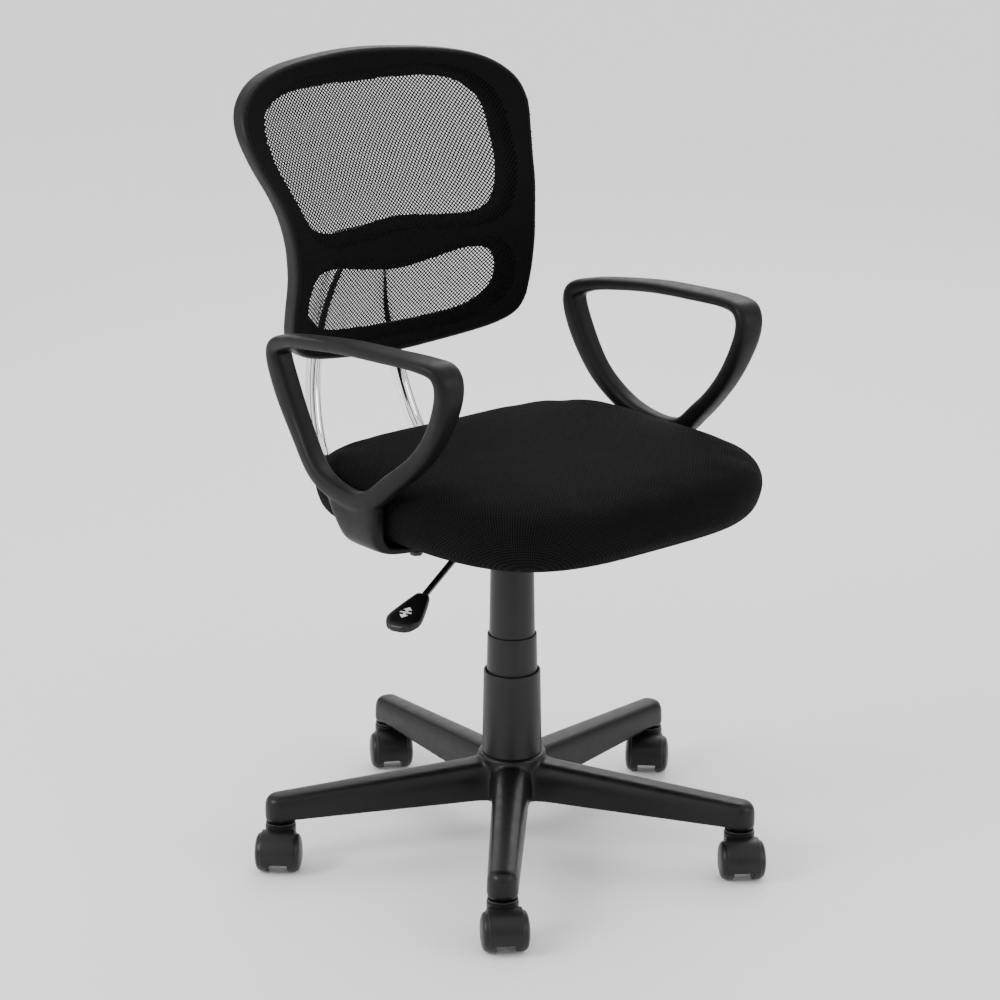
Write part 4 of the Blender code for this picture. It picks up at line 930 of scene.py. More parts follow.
@dataclass
class Caster:
    """Twin-wheel caster: a hooded housing, two domed wheels and an axle."""

    number: int
    wheel_radius: float = 22.5 * MM
    web: float = 21.4 * MM
    hood_width: float = 37.6 * MM
    hood_gap: float = 0.8 * MM
    hood_wall: float = 1.8 * MM
    hood_lift: float = 15.5 * MM
    trail: float = 23.0 * MM
    neck_radius: float = 17.5 * MM
    axle_radius: float = 3.3 * MM
    axle_end: float = 19.8 * MM
    bulge: float = 7.6 * MM

    @property
    def axle(self) -> Vector:
        """Middle of the axle, with the stem's axis at the origin."""
        return Vector((0.0, -self.trail, self.wheel_radius))

    @property
    def hood_radius(self) -> float:
        """Outer radius of the hood about the axle."""
        return self.wheel_radius + self.hood_gap + self.hood_wall

    def place(self) -> Matrix:
        """Turn and shift that carry the caster to its leg."""
        stem = Vector(joint_named(f"caster_{self.number}_swivel")["pos_m"])
        along = Vector(joint_named(f"caster_{self.number}_roll_left")["axis"])
        return Matrix.Translation(stem) @ Matrix.Rotation(math.atan2(along.y, along.x), 4, "Z")

    def housing(self) -> bpy.types.Mesh:
        """Build the hood, the web between the wheels and the neck."""
        half = self.hood_width / 2
        edge = 1.1 * MM
        radius = self.hood_radius
        profile = [(0.0, half), (radius - edge, half)]
        profile += arc_corner(radius - edge, half - edge, edge, 90.0)
        profile += arc_corner(radius - edge, edge - half, edge, 0.0)
        profile += [(0.0, -half)]
        body = to_mesh(spin(profile, 96, self.axle, X_AXIS), "hood")
        top = bottom_of("star_base") - 0.3 * MM
        neck = self.neck_radius
        collar = [(0.0, top), (neck - 1.6 * MM, top)]
        collar += arc_corner(neck - 1.6 * MM, top - 0.8 * MM, 0.8 * MM, 90.0)
        collar += [(neck - 0.8 * MM, top - 2.6 * MM), (neck - 1.6 * MM, top - 3.1 * MM)]
        collar += [(neck - 0.2 * MM, top - 3.9 * MM), (neck, top - 5.0 * MM), (neck, 34 * MM), (0.0, 34 * MM)]
        body = combined(body, to_mesh(spin(collar, 96, Vector()), "neck"), Joining.ADD)
        inner = self.wheel_radius + self.hood_gap
        for sign in (1, -1):
            start = self.axle + X_AXIS * sign * self.web / 2
            well = drum(start, start + X_AXIS * sign * self.hood_width, inner, 90)
            body = combined(body, to_mesh(well, "well"), Joining.CUT)
        floor = bmesh.new()
        bmesh.ops.create_cube(floor, size=0.2)
        bmesh.ops.translate(floor, verts=floor.verts, vec=(0.0, 0.0, self.hood_lift - 0.1))
        body = combined(body, to_mesh(floor, "floor"), Joining.CUT)
        reach = X_AXIS * self.hood_width
        axle = drum(self.axle - reach, self.axle + reach, self.axle_radius, 32)
        return combined(body, to_mesh(axle, "axle_bore"), Joining.CUT)

    def wheel(self, sign: int) -> bpy.types.Mesh:
        """Build one wheel: tread, domed face with a rolled rim, and a shallow hub.

        Args:
            sign: 1 for the wheel on +X and -1 for the other.

        Returns:
            The wheel's mesh.
        """
        radius = self.wheel_radius
        inner = self.web / 2 + 0.3 * MM
        edge = self.hood_width / 2 + 0.3 * MM
        face = edge + self.bulge
        profile = [(self.axle_radius, inner), (radius * 0.30, inner), (radius * 0.34, inner + 1.2 * MM)]
        profile += [(radius * 0.84, inner + 1.2 * MM), (radius * 0.88, inner)]
        profile += list(reversed(arc_corner(radius - 0.9 * MM, inner + 0.9 * MM, 0.9 * MM, 0.0)))
        profile += [(radius, edge), (radius - 0.25 * MM, edge + 0.7 * MM), (radius - 0.8 * MM, edge + 1.0 * MM)]
        steps = 12
        for step in range(1, steps + 1):
            angle = math.pi / 2 * step / steps
            r = (radius - 1.0 * MM) * math.cos(angle) ** 0.75
            profile.append((r, edge + 1.1 * MM + (face - edge - 1.1 * MM) * math.sin(angle) ** 0.85))
        profile[-1] = (0.0, face)
        profile += [(0.0, self.axle_end), (self.axle_radius, self.axle_end)]
        return to_mesh(spin(profile, 72, self.axle, X_AXIS * sign), "wheel")

    def build(self, housing: bpy.types.Mesh, wheels: dict[Side, bpy.types.Mesh]) -> None:
        """Settle this caster's pieces.

        Args:
            housing: the housing's mesh, which is copied.
            wheels: the wheels' meshes, which are copied.
        """
        body = f"caster_{self.number}"
        copy = housing.copy()
        copy.transform(self.place())
        Piece(f"{body}_hood", copy, CASTER_NYLON, body, "black_nylon", [f"{body}_housing"]).settle()
        for side, mesh in wheels.items():
            copy = mesh.copy()
            copy.transform(self.place())
            node = f"{body}_wheel_{side.word}"
            name, wheel_body = f"{body}_disc_{side.word}", f"{body}_{side.word}"
            Piece(name, copy, WHEEL_NYLON, wheel_body, "wheel_plastic", [node]).settle()


@dataclass
class Cover:
    """Three sleeves that hide the gas spring."""

    draft: float = 0.017
    steps: int = 96

    def sleeve(self, node: str, wall: float, lip: float) -> bpy.types.Mesh:
        """Build one sleeve, wider at its lower end, with rounded rims.

        Args:
            node: the CAD node that gives its size.
            wall: thickness of its wall.
            lip: radius of the rounding at its upper rim.

        Returns:
            The sleeve's mesh.
        """
        low, high = (Vector(corner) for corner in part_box(node))
        height = high.z - low.z
        wide = (high.x - low.x) / 2
        rim = wide - self.draft * height
        lip = min(lip, wall * 0.45)
        profile = arc_corner(rim - lip, height - lip, lip, 90.0)
        profile += [(wide, 0.0), (wide - wall, 0.0)]
        profile += arc_corner(rim - wall + lip, height - lip, lip, 180.0)
        place = Vector((COLUMN.x, COLUMN.y, low.z))
        return to_mesh(spin(profile, self.steps, place), node)

    def build(self) -> None:
        """Settle the three sleeves."""
        for node, wall, lip, body in (
            ("cover_lower_sleeve", 2.2 * MM, 1.0 * MM, "base"),
            ("cover_middle_sleeve", 1.4 * MM, 0.6 * MM, "cover_middle"),
            ("cover_top_sleeve", 1.2 * MM, 0.5 * MM, "seat"),
        ):
            mesh = self.sleeve(node, wall, lip)
            Piece(f"{node}_shell", mesh, SLEEVE_PLASTIC, body, "black_plastic", [node]).settle()


# ------------------------------------------------------------------ seat


@dataclass
class Seat:
    """Padded seat: foam under knitted fabric, drawn in round its lower edge."""

    square: float = 3.6
    points: int = 96
    front: float = 264 * MM
    rear: float = 148 * MM
    tuck: float = 18.0 * MM
    swell: float = 5.5 * MM
    voxel: float = 5.0 * MM
    shrink: float = 0.5 * MM
    foot_middle: float = 12.0 * MM
    foot_half: float = 46.0 * MM
    foot_ease: float = 55.0 * MM
    pressure: float = 4.0
    frames: int = 20
    most: float = 2.0 * MM
    stapled: float = 9.0 * MM

    def plan(self, inset: float, height: float) -> Ring:
        """Rounded plan of the seat at a height, drawn in by an inset."""
        low, high = (Vector(corner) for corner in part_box("seat_cushion"))
        wide = (high.x - low.x) / 2 + self.swell - inset
        ring = []
        for index in range(self.points):
            angle = FULL_TURN * index / self.points
            c, s = math.cos(angle), math.sin(angle)
            reach = (self.rear if s > 0 else self.front) - inset
            x = wide * math.copysign(abs(c) ** (2 / self.square), c)
            y = reach * math.copysign(abs(s) ** (2 / self.square), s)
            ring.append(Vector((COLUMN.x + x, COLUMN.y + y, height)))
        return ring

    def blank(self) -> bmesh.types.BMesh:
        """Build the cushion before it is blown up: slightly small, and hollow under its rim."""
        low, high = (Vector(corner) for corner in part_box("seat_cushion"))
        height = high.z - low.z
        tuck = self.tuck
        under = bottom_of("seat_board") - 0.5 * MM
        rows = [
            (tuck * 1.9, under),
            (tuck * 1.2, under),
            (tuck * 1.0, under + 1.5 * MM),
            (tuck * 0.74, low.z + 0.03 * height),
            (tuck * 0.30, low.z + 0.18 * height),
            (tuck * 0.02, low.z + 0.43 * height),
            (tuck * 0.10, low.z + 0.62 * height),
            (tuck * 0.50, low.z + 0.80 * height),
            (tuck * 1.30, low.z + 0.905 * height),
            (tuck * 3.6, low.z + 0.962 * height),
            (tuck * 7.0, low.z + 0.985 * height),
        ]
        rings = [self.plan(inset + self.shrink, z) for inset, z in flow(rows, 3)]
        return loft(rings)

    def inflate(self, mesh: bpy.types.Mesh) -> bpy.types.Mesh:
        """Blow the cushion up as cloth over foam.

        Args:
            mesh: the cushion's blank.
        """
        thing = in_scene(mesh, "seat_pad")
        remesh = thing.modifiers.new("even", "REMESH")
        remesh.mode = "VOXEL"
        remesh.voxel_size = self.voxel
        even = settled(thing)
        before = [vertex.co.copy() for vertex in even.vertices]
        thing = in_scene(even, "seat_pad")
        rim = bottom_of("seat_cushion") + self.stapled
        held = thing.vertex_groups.new(name="stapled")
        held.add([v.index for v in even.vertices if v.co.z < rim], 1.0, "REPLACE")
        cloth = thing.modifiers.new("cloth", "CLOTH")
        cloth.settings.use_pressure = True
        cloth.settings.uniform_pressure_force = self.pressure
        cloth.settings.tension_stiffness = 22.0
        cloth.settings.compression_stiffness = 22.0
        cloth.settings.bending_stiffness = 6.0
        cloth.settings.vertex_group_mass = "stapled"
        cloth.settings.effector_weights.gravity = 0.0
        cloth.point_cache.frame_start = 1
        cloth.point_cache.frame_end = self.frames
        for number in range(1, self.frames + 1):
            bpy.context.scene.frame_set(number)
        blown = settled(thing)
        bpy.context.scene.frame_set(1)
        for vertex, start in zip(blown.vertices, before):
            move = vertex.co - start
            if move.length > self.most:
                vertex.co = start + move.normalized() * self.most
        return blown

    def keep_inside(self, mesh: bpy.types.Mesh) -> None:
        """Hold the cushion over its board and clear of the arms' feet."""
        low, high = (Vector(corner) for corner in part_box("seat_cushion"))
        half = (high.x - low.x) / 2
        for vertex in mesh.vertices:
            ahead = max(abs(vertex.co.y - COLUMN.y + self.foot_middle) - self.foot_half, 0.0)
            ease = min(ahead / self.foot_ease, 1.0)
            room = half - 0.8 * MM + (self.swell + 1.2 * MM) * ease * ease * (3.0 - 2.0 * ease)
            vertex.co.x = COLUMN.x + min(max(vertex.co.x - COLUMN.x, -room), room)

    def weave(self, mesh: bpy.types.Mesh) -> None:
        """Lay the fabric's pattern over the top and down the sides, in metres."""
        shape = bmesh.new()
        shape.from_mesh(mesh)
        layer = shape.loops.layers.uv.new("weave")
        crown = top_of("seat_cushion") - 6 * MM
        for face in shape.faces:
            for corner in face.loops:
                vert = corner.vert
                away = Vector((vert.normal.x, vert.normal.y))
                fall = max(crown - vert.co.z, 0.0) * 1.25
                if away.length > 1e-4:
                    away = away.normalized() * fall
                corner[layer].uv = (vert.co.x + away.x, vert.co.y + away.y)
        shape.to_mesh(mesh)
        shape.free()

    def build(self) -> None:
        """Settle the cushion."""
        blank = to_mesh(self.blank(), "seat_pad")
        pad = self.inflate(blank)
        self.keep_inside(pad)
        thing = in_scene(pad, "seat_pad")
        ease = thing.modifiers.new("ease", "SMOOTH")
        ease.factor = 0.5
        ease.iterations = 12
        finer = thing.modifiers.new("finer", "SUBSURF")
        finer.levels = finer.render_levels = 1
        pad = settled(thing)
        self.weave(pad)
        cushion = Piece("seat_pad", pad, SEAT_CLOTH, "seat", "seat_fabric", ["seat_cushion"], crisp=False)
        cushion.settle()


# ------------------------------------------------------------------ arms


@dataclass
class Arm:
    """Moulded loop arm with a foot that turns in under the seat."""

    side: Side
    plane: float = 212.5 * MM
    foot_plane: float = 228.5 * MM
    steps: int = 7
    ring_points: int = 28
    voxel: float = 1.5 * MM
    # y, height over the seat's underside, offset from the plane, half width, half depth
    loop: Sequence[Row] = (
        (-122.0, 216.5, 9.0, 18.0, 7.0),
        (-62.0, 215.0, 12.0, 17.5, 6.8),
        (0.0, 212.0, 13.0, 16.5, 7.0),
        (62.0, 205.0, 12.0, 14.5, 7.2),
        (112.0, 196.5, 8.0, 14.0, 8.0),
        (140.5, 182.0, 5.0, 14.0, 11.0),
        (129.0, 144.0, 4.0, 13.5, 13.5),
        (96.0, 95.0, 6.0, 12.5, 11.6),
        (55.0, 61.0, 14.0, 12.0, 10.5),
        (6.0, 47.5, 17.0, 10.5, 10.5),
        (-34.0, 50.5, 17.0, 10.5, 11.5),
        (-70.0, 77.0, 11.0, 12.0, 11.0),
        (-105.0, 107.0, 3.5, 12.5, 10.0),
        (-133.0, 142.0, 1.0, 13.5, 10.5),
        (-152.5, 185.0, 2.0, 16.0, 10.5),
        (-149.0, 210.0, 4.0, 18.0, 8.5),
    )
    # distance in from the foot's plane, y, height, half width along the chair, half depth
    foot: Sequence[Row] = (
        (0.0, -6.0, 55.0, 41.0, 8.0),
        (0.0, -11.0, 40.0, 42.0, 10.0),
        (1.0, -16.0, 20.0, 35.0, 10.0),
        (5.0, -18.5, 4.5, 30.5, 8.0),
        (17.0, -20.0, -5.0, 30.0, 5.2),
        (36.0, -24.0, -6.4, 33.0, 4.6),
        (80.0, -30.0, -6.4, 36.0, 4.6),
    )

    def mirrored(self, ring: Iterable[Vector]) -> Ring:
        """Carry a ring from the left arm's side to this arm's place."""
        sign = self.side.value
        return [Vector((COLUMN.x + sign * point.x, COLUMN.y + point.y, point.z)) for point in ring]

    def loop_rings(self) -> list[Ring]:
        """Sections round the loop."""
        base = bottom_of("seat_board")
        rows = flow(self.loop, self.steps, closed=True)
        centres = [Vector((self.plane + r[2] * MM, r[0] * MM, base + r[1] * MM)) for r in rows]
        rings = []
        for index, (centre, row) in enumerate(zip(centres, rows)):
            along = (centres[(index + 1) % len(centres)] - centres[index - 1]).normalized()
            across = (X_AXIS - along * along.x).normalized()
            out = along.cross(across).normalized()
            ring = oval(centre, across, out, row[3] * MM, row[4] * MM, self.ring_points, 3.0)
            rings.append(self.mirrored(ring))
        return rings

    def foot_rings(self) -> list[Ring]:
        """Sections from the loop's bottom to the tongue under the seat."""
        tongue = self.foot[-1]
        base = self.tongue_middle() - tongue[2] * MM
        rows = flow(self.foot, self.steps)
        centres = [Vector((self.foot_plane - r[0] * MM, r[1] * MM, base + r[2] * MM)) for r in rows]
        rings = []
        for index, (centre, row) in enumerate(zip(centres, rows)):
            ahead = centres[min(index + 1, len(centres) - 1)]
            along = ahead - centres[max(index - 1, 0)]
            along.y = 0.0
            along.normalize()
            out = along.cross(Y_AXIS).normalized()
            ring = oval(centre, Y_AXIS, out, row[3] * MM, row[4] * MM, self.ring_points, 5.0)
            rings.append(self.mirrored(ring))
        return rings

    def tongue_middle(self) -> float:
        """Height of the middle of the tongue, which lies on the cloth under the board."""
        return bottom_of("seat_bottom_cover") - 0.3 * MM - self.foot[-1][4] * MM

    def build(self) -> None:
        """Settle the arm."""
        node = f"arm_{self.side.word}"
        loop = to_mesh(loft(self.loop_rings(), closed=True), "loop")
        foot = to_mesh(loft(self.foot_rings()), "foot")
        body = fused([loop, foot], f"{node}_moulding", self.voxel, 5)
        holes = bmesh.new()
        for end in ("front", "rear"):
            low, high = (Vector(corner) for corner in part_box(f"arm_bolt_{self.side.word}_{end}"))
            middle = (low + high) / 2
            start = Vector((middle.x, middle.y, low.z))
            bore = drum(start, Vector((middle.x, middle.y, high.z)), BOLT_ROOM, 24)
            holes.from_mesh(to_mesh(bore, "bolt_bore"))
        body = combined(body, to_mesh(holes, "bolt_bores"), Joining.CUT)
        Piece(f"{node}_moulding", body, ARM_PLASTIC, "seat", "black_plastic", [node]).settle()


# ------------------------------------------------------------------ back


@dataclass
class Back:
    """Curved back: moulded frame with two windows, net over its front, and chromed bars."""

    curvature: float = 1.04
    panel_curvature: float = 0.80
    rim_depth: float = 22.0 * MM
    rim_width: float = 9.0 * MM
    recess: float = 11.0 * MM
    panel: float = 3.5 * MM
    net_gap: float = 0.3 * MM
    net_thick: float = 0.5 * MM
    pitch_across: float = 5.0 * MM
    pitch_up: float = 4.7 * MM
    strand: float = 0.70 * MM
    bar_radius: float = 9.5 * MM
    boss_low: float = 236.0 * MM
    boss_high: float = 273.0 * MM
    boss_rear: float = 284.0 * MM
    boss_half: float = 51.0 * MM
    groove: float = 0.55
    cell: float = 6.0 * MM
    voxel: float = 1.8 * MM
    spine: Sequence[Row] = (
        (120.0, 214.0),
        (185.0, 204.0),
        (255.0, 192.5),
        (318.0, 203.0),
        (378.0, 239.0),
        (430.0, 263.0),
        (490.0, 277.0),
    )
    outline: Sequence[Row] = (
        (0.0, 478.0),
        (66.0, 475.0),
        (126.0, 468.5),
        (168.0, 456.5),
        (196.0, 435.0),
        (205.0, 408.0),
        (199.0, 375.0),
        (185.5, 333.0),
        (177.0, 290.0),
        (174.5, 248.0),
        (174.5, 205.0),
        (171.0, 176.0),
        (158.0, 157.0),
        (126.0, 144.0),
        (66.0, 134.5),
        (0.0, 130.0),
    )
    upper_window: Sequence[Row] = (
        (0.0, 440.0),
        (60.0, 440.0),
        (112.0, 436.0),
        (143.0, 423.0),
        (157.0, 401.0),
        (154.0, 362.0),
        (143.0, 324.0),
        (129.0, 297.0),
        (104.0, 287.0),
        (60.0, 288.0),
        (0.0, 293.0),
    )
    lower_window: Sequence[Row] = (
        (0.0, 230.0),
        (50.0, 236.0),
        (98.0, 244.0),
        (126.0, 238.0),
        (137.0, 215.0),
        (130.0, 191.0),
        (100.0, 173.0),
        (50.0, 167.0),
        (0.0, 165.0),
    )
    bar: Sequence[Row] = (
        (76.0, 70.0, 0.0),
        (76.0, 150.0, 0.0),
        (76.0, 215.0, 1.0),
        (75.0, 252.0, 14.0),
        (71.5, 274.0, 45.0),
        (64.0, 290.0, 98.0),
        (50.0, 296.0, 166.0),
        (39.5, 287.0, 214.0),
        (33.0, 271.0, 250.0),
        (29.0, 253.0, 282.0),
    )
    fine_spine: list[tuple[float, ...]] = field(default_factory=list)
    base: float = 0.0

    def __post_init__(self) -> None:
        """Work out the spine's finer points and the height they count from."""
        self.fine_spine = flow(self.spine, 12)
        self.base = bottom_of("seat_board")

    def spine_y(self, z: float) -> float:
        """Where the net's plane stands on the centre line, at a height."""
        height = (z - self.base) / MM
        points = self.fine_spine
        if height <= points[0][0]:
            return points[0][1] * MM
        for (low, near), (high, far) in zip(points, points[1:]):
            if height <= high:
                return (near + (far - near) * (height - low) / (high - low)) * MM
        return points[-1][1] * MM

    def wrap(self, point: Vector, behind: float = 0.0, flatter: bool = False) -> Vector:
        """Carry a point of the flat front view onto the curved back.

        Args:
            point: the point, with x from the middle and z the height.
            behind: how far behind the net's plane it goes.
            flatter: whether it lies on the panel, which bends less than the net.

        Returns:
            The point in its place.
        """
        bend = self.panel_curvature if flatter else self.curvature
        y = self.spine_y(point.z) - bend * point.x * point.x + behind
        return Vector((COLUMN.x + point.x, COLUMN.y + y, point.z))

    def closed_outline(self, half: Sequence[Row], steps: int = 5) -> Ring:
        """Whole outline, seen from the front, from its right half."""
        rows = list(half) + [(-x, z) for x, z in reversed(half[1:-1])]
        return [Vector((x * MM, 0.0, self.base + z * MM)) for x, z in flow(rows, steps, closed=True)]

    def inset(self, ring: Ring, by: float) -> Ring:
        """Draw an outline in (or, below 0, out) by an even distance."""
        middle = sum(ring, Vector()) / len(ring)
        out = []
        for index, point in enumerate(ring):
            along = (ring[(index + 1) % len(ring)] - ring[index - 1]).normalized()
            inward = along.cross(Y_AXIS)
            if inward.dot(middle - point) < 0:
                inward = -inward
            out.append(point + inward * by)
        return out

    def rim(self) -> bpy.types.Mesh:
        """Build the frame's rounded border as a loft round the outline."""
        outline = self.closed_outline(self.outline)
        rings = []
        half_wide, half_deep = self.rim_width / 2, self.rim_depth / 2
        middle_line = self.inset(outline, half_wide)
        for index, point in enumerate(middle_line):
            ahead = self.wrap(middle_line[(index + 1) % len(middle_line)])
            behind = self.wrap(middle_line[index - 1])
            along = (ahead - behind).normalized()
            across = along.cross(Y_AXIS).normalized()
            centre = self.wrap(point, half_deep)
            rings.append(oval(centre, across, Y_AXIS, half_wide, half_deep, 20, 4.0))
        return to_mesh(loft(rings, closed=True), "rim")

    def prism(self, ring: Ring, name: str) -> bpy.types.Mesh:
        """Carry a flat outline front to back as a cutting tool."""
        shape = bmesh.new()
        verts = [shape.verts.new((COLUMN.x + p.x, COLUMN.y, p.z)) for p in ring]
        face = shape.faces.new(verts)
        grown = bmesh.ops.extrude_face_region(shape, geom=[face])
        moved = [item for item in grown["geom"] if isinstance(item, bmesh.types.BMVert)]
        bmesh.ops.translate(shape, verts=moved, vec=(0.0, 0.5, 0.0))
        bmesh.ops.recalc_face_normals(shape, faces=shape.faces[:])
        return to_mesh(shape, name)

    def slab(self, front: float, thick: float) -> bpy.types.Mesh:
        """Build a slab that follows the back, between two depths behind the net."""
        half = max(row[0] for row in self.outline) * MM + 5 * MM
        low = self.base + self.outline[-1][1] * MM - 5 * MM
        high = self.base + self.outline[0][1] * MM + 5 * MM
        shape = bmesh.new()
        across, up = round(2 * half / self.cell), round((high - low) / self.cell)
        bmesh.ops.create_grid(shape, x_segments=across, y_segments=up, size=1.0)
        bmesh.ops.scale(shape, verts=shape.verts, vec=(half, (high - low) / 2, 1.0))
        bmesh.ops.rotate(shape, verts=shape.verts, matrix=Matrix.Rotation(math.pi / 2, 3, "X"))
        bmesh.ops.translate(shape, verts=shape.verts, vec=(0.0, 0.0, (high + low) / 2))
        fronts = shape.verts[:]
        grown = bmesh.ops.extrude_face_region(shape, geom=shape.faces[:])
        rears = [item for item in grown["geom"] if isinstance(item, bmesh.types.BMVert)]
        for vert in fronts:
            vert.co = self.wrap(vert.co, front, flatter=True)
        for vert in rears:
            vert.co = self.wrap(vert.co, front + thick, flatter=True)
        bmesh.ops.recalc_face_normals(shape, faces=shape.faces[:])
        return to_mesh(shape, "slab")

    def panel_sheet(self) -> bpy.types.Mesh:
        """Build the panel behind the net, with its two windows."""
        body = self.slab(self.recess, self.panel)
        edge = self.inset(self.closed_outline(self.outline), self.rim_width / 2)
        body = combined(body, self.prism(edge, "panel_edge"), Joining.KEEP)
        for name, half in (("upper_window", self.upper_window), ("lower_window", self.lower_window)):
            body = combined(body, self.prism(self.closed_outline(half), name), Joining.CUT)
        return body

    def boss(self) -> bpy.types.Mesh:
        """Build the thick block behind the waist that takes the bars' ends."""
        low, high = self.base + self.boss_low, self.base + self.boss_high
        rings = []
        for share, grow in ((0.0, 0.86), (0.12, 1.0), (0.8, 0.97), (1.0, 0.86)):
            front = self.spine_y((low + high) / 2) + self.recess + 1 * MM
            y = front + (self.boss_rear - front) * share
            tilt = -7 * MM * share
            centre = Vector((COLUMN.x, COLUMN.y + y + tilt, (low + high) / 2))
            rings.append(oval(centre, X_AXIS, Z_AXIS, self.boss_half * grow, (high - low) / 2 * grow, 48, 5.0))
        return to_mesh(loft(rings), "boss")

    def ribs(self) -> list[bpy.types.Mesh]:
        """Build the low ribs on the panel's rear face, beside and under the windows."""
        out = []
        for half in (self.upper_window, self.lower_window):
            ring = self.inset(self.closed_outline(half, 4), -5 * MM)
            rings = []
            for index, point in enumerate(ring):
                along = (self.wrap(ring[(index + 1) % len(ring)]) - self.wrap(ring[index - 1])).normalized()
                across = along.cross(Y_AXIS).normalized()
                centre = self.wrap(point, self.recess + self.panel, flatter=True)
                rings.append(oval(centre, across, Y_AXIS, 2.2 * MM, 3.4 * MM, 12, 2.6))
            out.append(to_mesh(loft(rings, closed=True), "window_rib"))
        return out

    def frame_body(self) -> bpy.types.Mesh:
        """Build the whole moulded frame."""
        solids = [self.rim(), self.panel_sheet(), self.boss(), *self.ribs()]
        body = fused(solids, "back_frame_moulding", self.voxel, 4)
        tools = bmesh.new()
        for side in Side:
            tools.from_mesh(self.bar_mesh(side, self.bar_radius + 0.4 * MM, 1.5 * MM))
        for side in Side:
            low, high = (Vector(corner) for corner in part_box(f"back_screw_{side.word}"))
            middle = (low + high) / 2
            start = Vector((middle.x, low.y, middle.z))
            bore = drum(start, Vector((middle.x, high.y + 9 * MM, middle.z)), BOLT_ROOM, 24)
            tools.from_mesh(to_mesh(bore, "screw_bore"))
        return combined(body, to_mesh(tools, "bar_rooms"), Joining.CUT)

    def inside(self, ring: Ring, x: float, z: float) -> bool:
        """Tell whether a point of the front view lies inside an outline."""
        odd = False
        for here, there in zip(ring, ring[1:] + ring[:1]):
            if (here.z > z) != (there.z > z):
                cut = here.x + (z - here.z) * (there.x - here.x) / (there.z - here.z)
                if x < cut:
                    odd = not odd
        return odd

    def net(self) -> tuple[bpy.types.Mesh, float]:
        """Build the net with real holes over the windows.

        Returns:
            The mesh, one layer thick, and its area of yarn.
        """
        edge = self.inset(self.closed_outline(self.outline), self.rim_width * self.groove)
        windows = [
            self.inset(self.closed_outline(half), -15 * MM) for half in (self.upper_window, self.lower_window)
        ]
        low = self.base + self.spine[0][0] * MM
        high = self.base + self.spine[-1][0] * MM
        widest = max(row[0] for row in self.outline) * MM
        span = max(high - low, 2 * widest)
        cells = round(span * math.sqrt(2.0) / self.pitch_across * math.sqrt(2.0) / 2) * 2
        shape = bmesh.new()
        bmesh.ops.create_grid(shape, x_segments=cells, y_segments=cells, size=cells / 2)
        bmesh.ops.rotate(shape, verts=shape.verts, matrix=Matrix.Rotation(math.pi / 4, 3, "Z"))
        diagonal = 1.0 / math.sqrt(2.0)
        for vert in shape.verts:
            x = vert.co.x * diagonal * self.pitch_across
            z = vert.co.y * diagonal * self.pitch_up + (low + high) / 2
            vert.co = Vector((x, 0.0, z))
        reach, middle = (high - low) / 2, (low + high) / 2
        far = [v for v in shape.verts if abs(v.co.x) > widest or abs(v.co.z - middle) > reach]
        bmesh.ops.delete(shape, geom=far, context="VERTS")
        stray = []
        for face in shape.faces:
            centre = face.calc_center_median()
            if not self.inside(edge, centre.x, centre.z):
                stray.append(face)
        bmesh.ops.delete(shape, geom=stray, context="FACES")
        loose = [vert for vert in shape.verts if not vert.link_faces]
        bmesh.ops.delete(shape, geom=loose, context="VERTS")
        holes = []
        for face in shape.faces:
            centre = face.calc_center_median()
            if any(self.inside(window, centre.x, centre.z) for window in windows) and len(face.verts) == 4:
                holes.append(face)
        bmesh.ops.inset_individual(shape, faces=holes, thickness=self.strand, use_even_offset=True)
        bmesh.ops.delete(shape, geom=holes, context="FACES")
        layer = shape.loops.layers.uv.new("weave")
        for face in shape.faces:
            for corner in face.loops:
                corner[layer].uv = (corner.vert.co.x, corner.vert.co.z)
        for vert in shape.verts:
            vert.co = self.wrap(vert.co, -self.net_gap)
        bmesh.ops.recalc_face_normals(shape, faces=shape.faces[:])
        front = sum(face.normal.y * face.calc_area() for face in shape.faces)
        if front > 0:
            bmesh.ops.reverse_faces(shape, faces=shape.faces[:])
        area = sum(face.calc_area() for face in shape.faces)
        return to_mesh(shape, "back_net"), area

    def welt(self) -> bpy.types.Mesh:
        """Build the corded edge that holds the net in the rim's groove."""
        line = self.inset(self.closed_outline(self.outline, 8), self.rim_width * self.groove)
        rings = []
        for index, point in enumerate(line):
            along = (self.wrap(line[(index + 1) % len(line)]) - self.wrap(line[index - 1])).normalized()
            across = along.cross(Y_AXIS).normalized()
            rings.append(oval(self.wrap(point, -0.1 * MM), across, Y_AXIS, 1.7 * MM, 1.1 * MM, 12, 2.2))
        return to_mesh(loft(rings, closed=True), "back_welt")

    def bar_mesh(self, side: Side, radius: float, extra: float = 0.0) -> bpy.types.Mesh:
        """Build one back bar as a smooth bent tube.

        Args:
            side: which bar.
            radius: its radius.
            extra: how much longer its upper end is.

        Returns:
            The bar's mesh.
        """
        node = f"back_bar_{side.word}"
        lift = bottom_of(node) + self.bar_radius
        rows = flow(self.bar, 8)
        points = [
            Vector((COLUMN.x + side.value * x * MM, COLUMN.y + y * MM, lift + z * MM)) for x, y, z in rows
        ]
        points[-1] += (points[-1] - points[-2]).normalized() * extra
        rings = []
        for index, point in enumerate(points):
            along = (points[min(index + 1, len(points) - 1)] - points[max(index - 1, 0)]).normalized()
            across = (X_AXIS - along * along.x).normalized()
            rings.append(oval(point, across, along.cross(across), radius, radius, 32, 2.0))
        return to_mesh(loft(rings), node)

